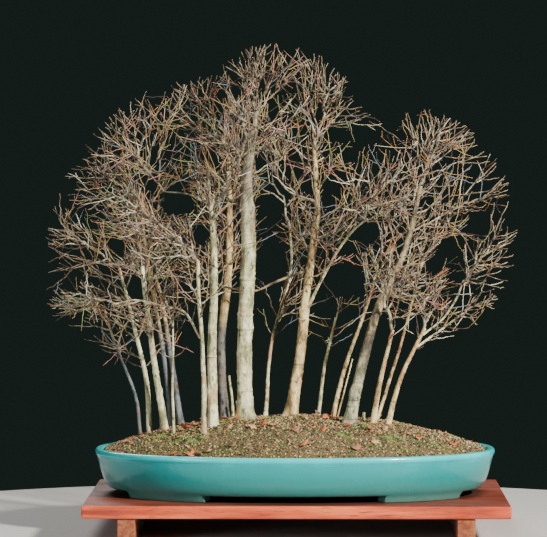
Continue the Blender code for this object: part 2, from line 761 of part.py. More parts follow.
def fuse(stem, twigs):
    """One closed body of the stem and its twigs."""
    held = bpy.data.collections.new(stem.name + "_parts")
    bpy.context.scene.collection.children.link(held)
    for twig in twigs:
        bpy.context.scene.collection.objects.unlink(twig)
        held.objects.link(twig)
    join = stem.modifiers.new("union", "BOOLEAN")
    join.operation = "UNION"
    join.operand_type = "COLLECTION"
    join.collection = held
    join.solver = "MANIFOLD"
    graph = bpy.context.evaluated_depsgraph_get()
    joined = bpy.data.meshes.new_from_object(stem.evaluated_get(graph), depsgraph=graph)
    stem.modifiers.clear()
    stem.data = joined
    for twig in twigs:
        bpy.data.objects.remove(twig, do_unlink=True)
    bpy.data.collections.remove(held)


def keep_largest_body(piece):
    """Drops any loose scrap that the join left."""
    bm = bmesh.new()
    bm.from_mesh(piece.data)
    left = set(bm.verts)
    bodies = []
    while left:
        body = set()
        open_ends = [left.pop()]
        while open_ends:
            vert = open_ends.pop()
            body.add(vert)
            for edge in vert.link_edges:
                other = edge.other_vert(vert)
                if other in left:
                    left.remove(other)
                    open_ends.append(other)
        bodies.append(body)
    largest = max(bodies, key=len)
    bmesh.ops.delete(bm, geom=[vert for vert in bm.verts if vert not in largest], context="VERTS")
    bm.to_mesh(piece.data)
    bm.free()


def make_masses(limbs):
    spaces = {name: Space(name) for name in MASSES}
    stems = {name: own_stem(space, limbs) for name, space in spaces.items()}
    in_the_way = dict(limbs)
    for name, (line, ahead) in stems.items():
        in_the_way[name] = (line, [TWIG_RADII[0][0] * 1.3] * 3)
    for name, space in spaces.items():
        others = {limb: route for limb, route in in_the_way.items() if limb != name}
        line, ahead = stems[name]
        twigs = []
        grow_pairs(space, others, line, 1, name, twigs)
        stem = twig_piece(name, line, 0, ahead)
        pieces = [twig_piece("twig", line, order) for order, _, line in twigs]
        fuse(stem, pieces)
        keep_largest_body(stem)
        give_material(stem, TWIG_TAN, 0.75)


clear_scene()
make_stand()
make_pot()
make_feet()
make_soil()
make_masses(make_limbs())
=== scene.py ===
"""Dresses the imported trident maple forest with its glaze, stained wood, mossy soil, bark and fine twigs.

Metres, +Z up. Places are measured from the middle of the pot and move by PLANTING_SHIFT, as the solids do.
"""

import math
import random

import bmesh
import bpy
import numpy as np
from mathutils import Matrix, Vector, noise


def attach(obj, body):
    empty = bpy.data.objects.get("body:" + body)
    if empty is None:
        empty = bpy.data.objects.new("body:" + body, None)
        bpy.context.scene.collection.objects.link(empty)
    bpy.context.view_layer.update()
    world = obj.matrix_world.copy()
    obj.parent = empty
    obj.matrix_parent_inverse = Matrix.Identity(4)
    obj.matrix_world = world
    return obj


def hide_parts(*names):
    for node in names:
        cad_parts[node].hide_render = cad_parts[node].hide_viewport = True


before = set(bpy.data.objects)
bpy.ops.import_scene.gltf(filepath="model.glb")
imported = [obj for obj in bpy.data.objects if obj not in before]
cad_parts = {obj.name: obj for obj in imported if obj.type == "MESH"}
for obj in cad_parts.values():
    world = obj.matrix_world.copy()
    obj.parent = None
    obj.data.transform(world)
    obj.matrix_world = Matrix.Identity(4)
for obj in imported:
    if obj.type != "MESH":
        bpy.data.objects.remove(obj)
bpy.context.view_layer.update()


# Camera
# It stands far off behind a long lens, level with the middle of the crown, straight before the pot.
# A pixel of the picture's own size is a 3580th of the distance wide.

PLANTING_SHIFT = Vector((0.0245, 0.0, 0.0))
EYE = Vector((0.038, -6.8, 0.687))
PICTURE_SIZE = (547, 537)
EYE_LEVEL_PIXEL = (315, 168)
PIXELS_PER_DISTANCE = 3580
SENSOR_WIDTH = 36.0

lens = bpy.data.cameras.new("camera")
lens.sensor_width = SENSOR_WIDTH
lens.lens = PIXELS_PER_DISTANCE * SENSOR_WIDTH / PICTURE_SIZE[0]
camera = bpy.data.objects.new("camera", lens)
bpy.context.scene.collection.objects.link(camera)
bpy.context.scene.camera = camera
aside = (PICTURE_SIZE[0] / 2 - EYE_LEVEL_PIXEL[0]) / PIXELS_PER_DISTANCE
below = (PICTURE_SIZE[1] / 2 - EYE_LEVEL_PIXEL[1]) / PIXELS_PER_DISTANCE
camera.location = EYE + PLANTING_SHIFT
camera.rotation_euler = Vector((aside, 1.0, -below)).to_track_quat("-Z", "Y").to_euler()


# Stand
# A board of softwood on two runners, sawn and planed, with its edges eased and an orange-red stain.
# The board's grain runs along it, and the runners' grain runs from front to back.

BOARD_GRAIN = (5.0, 95.0, 60.0)
RUNNER_GRAIN = (95.0, 5.0, 95.0)
POT_SHADOW_OVAL = (0.360, 0.2700, 1000.0)  # painted shadow of the pot: the board is darker inside this oval round the pot's middle
POT_SHADOW_TONE = (0.30, 0.50, 0.75)
STAIN_TONES = (
    (0.30, (0.240, 0.024, 0.008)),
    (0.46, (0.480, 0.068, 0.020)),
    (0.58, (0.640, 0.120, 0.038)),
    (0.72, (0.760, 0.200, 0.075)),
)


def new_finish(name, roughness):
    """A Principled finish, with its node tree and its shader."""
    finish = bpy.data.materials.new(name)
    finish.use_nodes = True
    tree = finish.node_tree
    shader = tree.nodes["Principled BSDF"]
    shader.inputs["Roughness"].default_value = roughness
    return finish, tree, shader


def speckle(tree, stretch, detail=4.0, roughness=0.55):
    """Noise on the piece's own coordinates, stretched along each axis."""
    place = tree.nodes.new("ShaderNodeTexCoord")
    mapping = tree.nodes.new("ShaderNodeMapping")
    texture = tree.nodes.new("ShaderNodeTexNoise")
    mapping.inputs["Scale"].default_value = stretch
    texture.inputs["Scale"].default_value = 1.0
    texture.inputs["Detail"].default_value = detail
    texture.inputs["Roughness"].default_value = roughness
    tree.links.new(place.outputs["Object"], mapping.inputs["Vector"])
    tree.links.new(mapping.outputs["Vector"], texture.inputs["Vector"])
    return texture.outputs["Fac"]


def tones(tree, value, stops):
    """Colours laid over a pattern's values: each stop is a value and its colour."""
    ramp = tree.nodes.new("ShaderNodeValToRGB")
    marks = ramp.color_ramp.elements
    while len(marks) < len(stops):
        marks.new(1.0)
    for mark, (position, colour) in zip(marks, stops):
        mark.position = position
        mark.color = (*colour, 1.0)
    tree.links.new(value, ramp.inputs["Fac"])
    return ramp.outputs["Color"]


def mask(tree, value, low, high):
    """0 below low and 1 above high, with a slope between them."""
    span = tree.nodes.new("ShaderNodeMapRange")
    span.inputs["From Min"].default_value = low
    span.inputs["From Max"].default_value = high
    tree.links.new(value, span.inputs["Value"])
    return span.outputs["Result"]


def laid_over(tree, under, over, amount, kind="MIX"):
    """One colour over another where the amount says so."""
    mix = tree.nodes.new("ShaderNodeMix")
    mix.data_type = "RGBA"
    mix.blend_type = kind
    for socket, value in ((mix.inputs[0], amount), (mix.inputs[6], under), (mix.inputs[7], over)):
        if isinstance(value, bpy.types.NodeSocket):
            tree.links.new(value, socket)
        elif isinstance(value, tuple):
            socket.default_value = (*value, 1.0)
        else:
            socket.default_value = value
    return mix.outputs[2]


def relief(tree, shader, value, depth):
    """Raises the surface by a pattern's values."""
    bump = tree.nodes.new("ShaderNodeBump")
    bump.inputs["Strength"].default_value = 1.0
    bump.inputs["Distance"].default_value = depth
    tree.links.new(value, bump.inputs["Height"])
    earlier = shader.inputs["Normal"].links
    if earlier:
        tree.links.new(earlier[0].from_socket, bump.inputs["Normal"])
    tree.links.new(bump.outputs["Normal"], shader.inputs["Normal"])


def stained_wood(name, grain, shade):
    """Stained softwood, with painted shade on the board's top face and a painted shadow of the pot in an oval
    round the pot's middle. shade darkens the whole of it.
    """
    finish, tree, shader = new_finish(name, 0.5)
    streaks = speckle(tree, grain, 6.0, 0.6)
    colour = tones(tree, streaks, STAIN_TONES)
    pores = speckle(tree, tuple(7 * stretch for stretch in grain), 2.0)
    colour = laid_over(tree, colour, (0.16, 0.030, 0.018), mask(tree, pores, 0.60, 0.72))
    place = tree.nodes.new("ShaderNodeTexCoord")
    axes = tree.nodes.new("ShaderNodeSeparateXYZ")
    tree.links.new(place.outputs["Object"], axes.inputs["Vector"])
    # painted shade on the board's top face: from these heights up the stain is darkened and cooled
    painted_top_shade = mask(tree, axes.outputs["Z"], 0.0690, 0.0702)
    colour = laid_over(tree, colour, (0.38, 0.40, 0.56), painted_top_shade, "MULTIPLY")
    worn = speckle(tree, (14.0, 14.0, 14.0), 5.0)
    colour = laid_over(tree, colour, (0.50, 0.22, 0.12), mask(tree, worn, 0.66, 1.02))
    colour = laid_over(tree, colour, shade, 1.0, "MULTIPLY")
    # painted shadow of the pot on the board, inside an oval round the pot's middle
    oval = tree.nodes.new("ShaderNodeMapping")
    oval.vector_type = "TEXTURE"
    oval.inputs["Location"].default_value = PLANTING_SHIFT
    oval.inputs["Scale"].default_value = POT_SHADOW_OVAL
    out = tree.nodes.new("ShaderNodeVectorMath")
    out.operation = "LENGTH"
    tree.links.new(place.outputs["Object"], oval.inputs["Vector"])
    tree.links.new(oval.outputs["Vector"], out.inputs[0])
    damp_and_pot_shadow = mask(tree, out.outputs["Value"], 1.03, 0.97)
    colour = laid_over(tree, colour, laid_over(tree, colour, POT_SHADOW_TONE, 1.0, "MULTIPLY"), damp_and_pot_shadow)
    tree.links.new(colour, shader.inputs["Base Color"])
    tree.links.new(mask(tree, worn, 1.2, -0.1), shader.inputs["Roughness"])
    relief(tree, shader, pores, 0.0003)
    relief(tree, shader, streaks, 0.0006)
    return finish


board_stain = stained_wood("board_stain", BOARD_GRAIN, (1.0, 0.90, 0.76))
runner_stain = stained_wood("runner_stain", RUNNER_GRAIN, (0.40, 0.62, 0.58))
for node, stain in (
    ("stand_board", board_stain),
    ("stand_runner_left", runner_stain),
    ("stand_runner_right", runner_stain),
):
    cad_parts[node].material_slots[0].material = stain


# Pot
# A shallow oval pot of thrown and pressed stoneware with a rolled lip, dipped in a turquoise glaze.
# The glaze ran thin towards the foot, where the grey clay shows through it, and pooled under the lip.

BOARD_TOP = 0.0703
FOOT_HEIGHT = 0.009
POT_FLOOR = BOARD_TOP + FOOT_HEIGHT + 0.0006
RIM_LENGTH = 0.760
RIM_DEPTH = 0.545
OVAL_FULLNESS = 2.25
POT_SIDES = 96
POT_OUTSIDE = (
    (0.0310, 0.000),
    (0.0250, 0.004),
    (0.0190, 0.012),
    (0.0140, 0.024),
    (0.0088, 0.041),
    (0.0045, 0.059),
    (0.0030, 0.064),
    (0.0008, 0.067),
    (0.0000, 0.071),
    (0.0010, 0.075),
    (0.0045, 0.0768),
)
POT_INSIDE = (
    (0.0110, 0.0768),
    (0.0150, 0.075),
    (0.0165, 0.071),
    (0.0185, 0.066),
    (0.0250, 0.045),
    (0.0370, 0.019),
    (0.0520, 0.012),
)
GLAZE_TONES = (
    (0.00, (0.090, 0.190, 0.150)),
    (0.18, (0.045, 0.185, 0.165)),
    (0.50, (0.002, 0.215, 0.207)),
    (0.80, (0.000, 0.290, 0.298)),
    (0.90, (0.002, 0.450, 0.475)),
    (1.00, (0.030, 0.600, 0.600)),
)


def rolled_sheet(name, around, along, place):
    """A sheet rolled up and closed at both ends. place(turn, run) puts each corner, both from 0 to 1."""
    bm = bmesh.new()
    bmesh.ops.create_grid(bm, x_segments=around, y_segments=along, size=1.0)
    for vert in bm.verts:
        vert.co = place((vert.co.x + 1) / 2, (vert.co.y + 1) / 2) + PLANTING_SHIFT
    bmesh.ops.remove_doubles(bm, verts=bm.verts, dist=1e-6)
    bmesh.ops.holes_fill(bm, edges=[edge for edge in bm.edges if edge.is_boundary], sides=0)
    bmesh.ops.recalc_face_normals(bm, faces=bm.faces)
    mesh = bpy.data.meshes.new(name)
    bm.to_mesh(mesh)
    bm.free()
    mesh.shade_smooth()
    piece = bpy.data.objects.new(name, mesh)
    bpy.context.scene.collection.objects.link(piece)
    return piece


def settle(piece, slot, *nodes):
    """The piece rides on the planting and stands for these solids."""
    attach(piece, "root")
    if nodes:
        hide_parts(*nodes)


def soften(piece, levels):
    smoothing = piece.modifiers.new("soften", "SUBSURF")
    smoothing.levels = levels
    smoothing.render_levels = levels


def oval_point(turn, inset, height):
    """A point of the pot's oval, set in from the rim. turn is 1 for a full round."""
    angle = math.tau * turn
    power = 2 / OVAL_FULLNESS
    across = math.copysign(abs(math.cos(angle)) ** power, math.cos(angle))
    deep = math.copysign(abs(math.sin(angle)) ** power, math.sin(angle))
    return Vector(((RIM_LENGTH / 2 - inset) * across, (RIM_DEPTH / 2 - inset) * deep, height))


pot_profile = POT_OUTSIDE + POT_INSIDE


def pot_corner(turn, run):
    inset, height = pot_profile[round(run * (len(pot_profile) - 1))]
    return oval_point(turn, inset, POT_FLOOR + height)


turquoise_glaze, tree, shader = new_finish("turquoise_glaze", 0.20)
shader.inputs["Coat Weight"].default_value = 0.15
shader.inputs["Coat Roughness"].default_value = 0.08
place = tree.nodes.new("ShaderNodeTexCoord")
axes = tree.nodes.new("ShaderNodeSeparateXYZ")
tree.links.new(place.outputs["Object"], axes.inputs["Vector"])
level = mask(tree, axes.outputs["Z"], BOARD_TOP, POT_FLOOR + 0.077)
glaze_run = tree.nodes.new("ShaderNodeMath")
glaze_run.operation = "MULTIPLY_ADD"
glaze_run.inputs[1].default_value = 0.16
tree.links.new(speckle(tree, (22.0, 22.0, 9.0), 5.0), glaze_run.inputs[0])
tree.links.new(level, glaze_run.inputs[2])
glaze_level = tree.nodes.new("ShaderNodeMath")
glaze_level.operation = "SUBTRACT"
glaze_level.inputs[1].default_value = 0.08
tree.links.new(glaze_run.outputs[0], glaze_level.inputs[0])
colour = tones(tree, glaze_level.outputs[0], GLAZE_TONES)
tree.links.new(colour, shader.inputs["Base Color"])
relief(tree, shader, speckle(tree, (60.0, 60.0, 60.0), 2.0), 0.0006)

pot = rolled_sheet("glazed_pot", POT_SIDES, len(pot_profile) - 1, pot_corner)
pot.data.materials.append(turquoise_glaze)
soften(pot, 2)
settle(pot, "glaze", "pot")


# Pot feet
# Four low feet carry on the curve of the wall, with arches cut between them, under the same glaze.

FOOT_SPANS = ((29.0, 64.0), (116.0, 151.0), (209.0, 244.0), (296.0, 331.0))
FOOT_PROFILE = (
    (0.0225, 0.0080),
    (0.0262, 0.0030),
    (0.0300, -0.0015),
    (0.0325, -0.0085),
    (0.0330, -0.0090),
    (0.0560, -0.0090),
    (0.0570, -0.0080),
    (0.0560, 0.0040),
    (0.0400, 0.0070),
)
FOOT_STEPS = 28

for number, (begin, end) in enumerate(FOOT_SPANS, 1):

    def foot_corner(turn, run):
        """turn goes round the foot's cross-section, and run along the pot's wall."""
        inset, height = FOOT_PROFILE[round(turn * len(FOOT_PROFILE)) % len(FOOT_PROFILE)]
        ease = 0.0008 if run in (0.0, 1.0) else 0.0
        sunk = 0.5 * (0.5 - height / 0.018)
        height += ease * sunk
        angle = begin + (end - begin) * run
        return oval_point(angle / 360, inset + ease, POT_FLOOR + height)

    foot = rolled_sheet(f"glazed_foot_{number}", len(FOOT_PROFILE), FOOT_STEPS, foot_corner)
    foot.data.materials.append(turquoise_glaze)
    foot.data.set_sharp_from_angle(angle=math.radians(35))
    settle(foot, "glaze_foot", f"pot_foot_{number}")


# Soil
# Brown grit and crumbs of clay fill the pot and rise to a low mound that the trees stand on.
# The surface is rough where it was worked between the roots and smoothed by watering near the lip.

SOIL_EDGE = 0.074
MOUND_RISE = 0.060
MOUND_POWER = 2.4
SWELL_HEIGHT = 0.0032
SWELLS_TO_A_METRE = 15.0
CUSHION_HEIGHT = 0.0034
MOSS_CUSHIONS = (
    (-0.255, -0.095, 0.036),
    (-0.215, -0.140, 0.030),
    (-0.180, -0.155, 0.034),
    (-0.130, -0.055, 0.024),
    (-0.046, -0.045, 0.028),
    (0.000, -0.010, 0.022),
    (0.093, -0.165, 0.022),
    (0.128, -0.090, 0.022),
    (0.182, -0.150, 0.032),
    (0.207, -0.195, 0.022),
    (0.270, -0.130, 0.026),
    (-0.300, 0.040, 0.026),
    (-0.200, 0.120, 0.036),
    (-0.060, 0.170, 0.030),
    (0.070, 0.120, 0.030),
    (0.190, 0.080, 0.026),
    (0.290, 0.040, 0.020),
)
SOIL_SOLID_INSET = 0.0181
SOIL_INSET = 0.0185
SOIL_SIDES = 180
SOIL_RINGS = 66
SOIL_WALL = ((0.0530, 0.0125), (0.0380, 0.0200), (0.0262, 0.0450), (0.0196, 0.0660))
SOIL_TONES = (
    (0.28, (0.015, 0.010, 0.005)),
    (0.42, (0.060, 0.040, 0.018)),
    (0.52, (0.150, 0.105, 0.046)),
    (0.64, (0.270, 0.200, 0.090)),
    (0.80, (0.460, 0.370, 0.190)),
)


def mound_height(x, y):
    """Height of the solid soil's surface, with its low swells and the cushions that the moss grows on."""
    out = math.hypot(x / (RIM_LENGTH / 2 - SOIL_SOLID_INSET), y / (RIM_DEPTH / 2 - SOIL_SOLID_INSET))
    out = min(out, 1.0)
    lumps = SWELL_HEIGHT * noise.noise(Vector((x, y, 0.0)) * SWELLS_TO_A_METRE)
    for middle_x, middle_y, radius in MOSS_CUSHIONS:
        lumps += CUSHION_HEIGHT * math.exp(-((x - middle_x) ** 2 + (y - middle_y) ** 2) / radius**2)
    return POT_FLOOR + SOIL_EDGE + MOUND_RISE * (1 - out**MOUND_POWER) + lumps * min(1.0, 4 * (1 - out))


def soil_level(x, y):
    """Height of the soil's surface as it is drawn, with crumbs and hollows on it."""
    crumbs = 0.0009 * noise.noise((x * 60, y * 60, 3.0)) + 0.0011 * noise.noise((x * 130, y * 130, 8.0))
    return mound_height(x, y) + crumbs


def soil_corner(turn, run):
    step = round(run * (SOIL_RINGS + len(SOIL_WALL)))
    if step < len(SOIL_WALL):
        inset, height = SOIL_WALL[step]
        return oval_point(turn, inset, POT_FLOOR + height)
    share = 1 - (step - len(SOIL_WALL)) / SOIL_RINGS
    edge = oval_point(turn, SOIL_INSET, 0.0) * share
    return Vector((edge.x, edge.y, soil_level(edge.x, edge.y)))


brown_soil, tree, shader = new_finish("brown_soil", 0.95)
crumbs = speckle(tree, (420.0, 420.0, 420.0), 3.0, 0.7)
colour = tones(tree, crumbs, SOIL_TONES)
damp_and_pot_shadow = speckle(tree, (26.0, 26.0, 26.0), 5.0, 0.7)
colour = laid_over(tree, colour, (0.060, 0.085, 0.014), mask(tree, damp_and_pot_shadow, 0.45, 0.64))
litter = speckle(tree, (60.0, 110.0, 60.0), 4.0, 0.7)
colour = laid_over(tree, colour, (0.330, 0.110, 0.045), mask(tree, litter, 0.60, 0.72))
tree.links.new(colour, shader.inputs["Base Color"])
relief(tree, shader, crumbs, 0.0025)

soil = rolled_sheet("brown_soil", SOIL_SIDES, SOIL_RINGS + len(SOIL_WALL), soil_corner)
soil.data.materials.append(brown_soil)
settle(soil, "soil", "soil")


# Grit on the soil
# Grains of baked clay, pumice and bark lie loose on the mound, two to five millimetres across.

GRAIN_COUNT = 15000
GRAIN_CORNERS = ((1, 0, 0), (0, 1, 0), (-1, 0, 0), (0, -1, 0), (0, 0, 1), (0, 0, -1))
GRAIN_FACES = ((0, 1, 4), (1, 2, 4), (2, 3, 4), (3, 0, 4), (1, 0, 5), (2, 1, 5), (3, 2, 5), (0, 3, 5))
GRIT_FINISHES = (
    ("brown_grit", (0.200, 0.115, 0.055), 26),
    ("dark_grit", (0.032, 0.023, 0.014), 34),
    ("orange_grit", (0.450, 0.210, 0.080), 13),
    ("pale_grit", (0.520, 0.430, 0.240), 16),
    ("olive_grit", (0.240, 0.260, 0.080), 19),
)


def plain_finish(name, colour, roughness, grain):
    """One plain colour with a fine surface relief."""
    finish, tree, shader = new_finish(name, roughness)
    shader.inputs["Base Color"].default_value = (*colour, 1.0)
    relief(tree, shader, speckle(tree, (grain, grain, grain), 3.0), 0.3 / grain)
    return finish


def joined_piece(name, corners, faces, kinds, finishes):
    """One mesh of many small things. kinds says which finish each face takes."""
    mesh = bpy.data.meshes.new(name)
    sizes = np.concatenate([np.full(len(group), group.shape[1]) for group in faces])
    loops = np.concatenate([group.ravel() for group in faces])
    mesh.vertices.add(len(corners))
    mesh.vertices.foreach_set("co", (corners + np.array(PLANTING_SHIFT)).astype(np.float32).ravel())
    mesh.loops.add(len(loops))
    mesh.loops.foreach_set("vertex_index", loops.astype(np.int32))
    mesh.polygons.add(len(sizes))
    starts = np.concatenate([[0], np.cumsum(sizes)[:-1]])
    mesh.polygons.foreach_set("loop_start", starts.astype(np.int32))
    mesh.polygons.foreach_set("material_index", np.asarray(kinds, np.int32))
    mesh.update(calc_edges=True)
    for finish in finishes:
        mesh.materials.append(finish)
    piece = bpy.data.objects.new(name, mesh)
    bpy.context.scene.collection.objects.link(piece)
    return piece


def on_the_mound(chance):
    """A place on the soil, evenly spread."""
    half_length = RIM_LENGTH / 2 - 0.020
    half_depth = RIM_DEPTH / 2 - 0.020
    while True:
        x = chance.uniform(-1, 1) * half_length
        y = chance.uniform(-1, 1) * half_depth
        if abs(x / half_length) ** OVAL_FULLNESS + abs(y / half_depth) ** OVAL_FULLNESS < 1:
            return x, y


chance = random.Random("grit")
grain_shapes = np.random.default_rng(5)
spots = [on_the_mound(chance) for _ in range(GRAIN_COUNT)]
middles = np.array([(x, y, soil_level(x, y) + 0.0004) for x, y in spots])
sizes = grain_shapes.uniform(0.0008, 0.0028, (GRAIN_COUNT, 1, 1))
sizes = sizes * grain_shapes.uniform(0.6, 1.2, (GRAIN_COUNT, 1, 3))
turns = np.linalg.qr(grain_shapes.normal(size=(GRAIN_COUNT, 3, 3)))[0]
turns *= np.linalg.det(turns)[:, None, None]
grains = np.array(GRAIN_CORNERS) * sizes
grains = np.einsum("nij,nkj->nki", turns, grains) + middles[:, None]
grain_faces = np.array(GRAIN_FACES) + 6 * np.arange(GRAIN_COUNT)[:, None, None]
grain_kinds = []
for x, _ in spots:
    shares = [weight * (1 + 0.9 * x if name == "pale_grit" else 1) for name, _, weight in GRIT_FINISHES]
    grain_kinds.append(chance.choices(range(len(GRIT_FINISHES)), shares)[0])
grit = joined_piece(
    "loose_grit",
    grains.reshape(-1, 3),
    [grain_faces.reshape(-1, 3)],
    np.repeat(grain_kinds, len(GRAIN_FACES)),
    [plain_finish(name, colour, 0.9, 900.0) for name, colour, _ in GRIT_FINISHES],
)
settle(grit, "soil")


# Moss
# Cushions of short green moss have grown over the soil round the stems and along the front of the pot.

MOSS_BLADES = 900  # to a patch of average size
MOSS_FILM = 22000  # tries at a thin film of moss between the patches, thickest on the left
MOSS_GREENS = (
    ("moss_dark", (0.016, 0.050, 0.018)),
    ("moss_mid", (0.085, 0.165, 0.035)),
    ("moss_light", (0.320, 0.390, 0.090)),
    ("moss_dry", (0.400, 0.360, 0.140)),
)

chance = random.Random("moss")
blade_roots = []
blade_tips = []
blade_kinds = []
for x, y, radius in MOSS_CUSHIONS:
    for _ in range(int(MOSS_BLADES * (radius / 0.028) ** 2)):
        out = radius * math.sqrt(chance.random())
        out *= 0.75 + 0.35 * noise.noise((x * 50, y * 50, chance.random()))
        angle = chance.uniform(0, math.tau)
        root = Vector((x + out * math.cos(angle), y + 0.8 * out * math.sin(angle), 0.0))
        root.z = soil_level(root.x, root.y) - 0.0005
        height = chance.uniform(0.0014, 0.0036) * (1.25 - 0.7 * out / radius)
        lean = Vector((chance.gauss(0, 0.4), chance.gauss(0, 0.4), 1.0)).normalized()
        blade_roots.append(root)
        blade_tips.append(root + lean * height)
        shade = 0.5 + 0.9 * noise.noise((root.x * 70, root.y * 70, 1.0)) + chance.uniform(-0.35, 0.35)
        blade_kinds.append(min(3, max(0, int(shade * 3.4))))
for _ in range(MOSS_FILM):
    x, y = on_the_mound(chance)
    if noise.noise((x * 24, y * 24, 6.0)) < 0.9 * (x + 0.12) + chance.gauss(0, 0.08):
        continue
    root = Vector((x, y, soil_level(x, y) - 0.0005))
    lean = Vector((chance.gauss(0, 0.4), chance.gauss(0, 0.4), 1.0))
    blade_roots.append(root)
    blade_tips.append(root + lean * chance.uniform(0.0012, 0.0028))
    blade_kinds.append(chance.choices(range(4), (26, 34, 16, 24))[0])
blade_count = len(blade_roots)
roots = np.array(blade_roots)
tips = np.array(blade_tips)
blade_turns = np.random.default_rng(6).uniform(0, math.tau, blade_count)
feet = []
for step in range(3):
    angles = blade_turns + step * math.tau / 3
    feet.append(roots + 0.0007 * np.stack([np.cos(angles), np.sin(angles), np.zeros(blade_count)], axis=1))
blades = np.stack([*feet, tips], axis=1)
blade_faces = np.array(((0, 1, 3), (1, 2, 3), (2, 0, 3), (1, 0, 2)))
blade_faces = blade_faces + 4 * np.arange(blade_count)[:, None, None]
moss = joined_piece(
    "moss_cushions",
    blades.reshape(-1, 3),
    [blade_faces.reshape(-1, 3)],
    np.repeat(blade_kinds, 4),
    [plain_finish(name, colour, 0.9, 700.0) for name, colour in MOSS_GREENS],
)
settle(moss, "soil")


# Fallen leaves
# A few of last autumn's three-pointed leaves lie curled on the soil, most of them by the front lip.

LEAF_OUTLINE = (
    (0.00, 0.00),
    (0.22, 0.06),
    (0.33, 0.30),
    (0.50, 0.76),
    (0.25, 0.62),
    (0.12, 0.66),
    (0.00, 1.00),
    (-0.12, 0.66),
    (-0.25, 0.62),
    (-0.50, 0.76),
    (-0.33, 0.30),
    (-0.22, 0.06),
)
SEEN_LEAVES = (
    (-0.225, -0.205, 0.022),
    (-0.209, -0.213, 0.024),
    (-0.192, -0.210, 0.021),
    (-0.178, -0.214, 0.020),
    (-0.160, -0.212, 0.017),
    (-0.114, -0.200, 0.018),
    (-0.058, -0.120, 0.029),
    (0.018, -0.212, 0.022),
    (0.030, -0.208, 0.019),
    (0.113, -0.212, 0.021),
    (0.100, -0.110, 0.018),
    (-0.190, -0.050, 0.025),
    (-0.205, -0.060, 0.021),
    (-0.118, -0.045, 0.022),
    (0.060, -0.030, 0.020),
    (0.075, -0.045, 0.018),
    (-0.250, -0.060, 0.018),
)
SPARE_LEAVES = 46
LEAF_SCRAPS = 420
LEAF_COLOURS = (
    ("leaf_orange", (0.620, 0.200, 0.060)),
    ("leaf_tan", (0.560, 0.340, 0.170)),
    ("leaf_red", (0.450, 0.110, 0.050)),
    ("leaf_brown", (0.300, 0.160, 0.080)),
)
LEAF_THICKNESS = 0.0002

chance = random.Random("leaves")
leaf_places = list(SEEN_LEAVES)
for _ in range(SPARE_LEAVES):
    leaf_places.append((*on_the_mound(chance), chance.uniform(0.012, 0.021)))
for _ in range(LEAF_SCRAPS):
    leaf_places.append((*on_the_mound(chance), chance.uniform(0.004, 0.010)))
leaf_corners = []
leaf_kinds = []
for x, y, size in leaf_places:
    middle = Vector((x, y, soil_level(x, y) + min(0.0025, 0.16 * size)))
    facing = Vector((chance.gauss(0, 0.35), chance.gauss(-0.15, 0.35), 1.0)).normalized()
    ahead = facing.cross(Vector((chance.uniform(-1, 1), chance.uniform(-1, 1), 0.1))).normalized()
    across = facing.cross(ahead)
    curl = chance.uniform(0.2, 0.9)
    outline = [(0.0, 0.45), *LEAF_OUTLINE]
    for layer in (0.0, LEAF_THICKNESS):
        for wide, long in outline:
            lift = curl * (wide * wide * 1.6 + (long - 0.45) ** 2 * 0.7) * size + layer
            leaf_corners.append(middle + across * wide * size + ahead * (long - 0.45) * size + facing * lift)
    leaf_kinds.append(chance.choices(range(4), (38, 30, 17, 15))[0])
rim = len(LEAF_OUTLINE)
under = [(0, 1 + (step + 1) % rim, 1 + step) for step in range(rim)]
over = [(rim + 1, rim + 2 + step, rim + 2 + (step + 1) % rim) for step in range(rim)]
walls = []
for step in range(rim):
    low, low_next = 1 + step, 1 + (step + 1) % rim
    walls += [(low, low_next, low_next + rim + 1), (low, low_next + rim + 1, low + rim + 1)]
leaf_faces = np.array(under + over + walls)
all_leaf_faces = leaf_faces + 2 * (rim + 1) * np.arange(len(leaf_places))[:, None, None]
leaves = joined_piece(
    "fallen_leaves",
    np.array(leaf_corners),
    [all_leaf_faces.reshape(-1, 3)],
    np.repeat(leaf_kinds, len(leaf_faces)),
    [plain_finish(name, colour, 0.75, 260.0) for name, colour in LEAF_COLOURS],
)
settle(leaves, "soil")
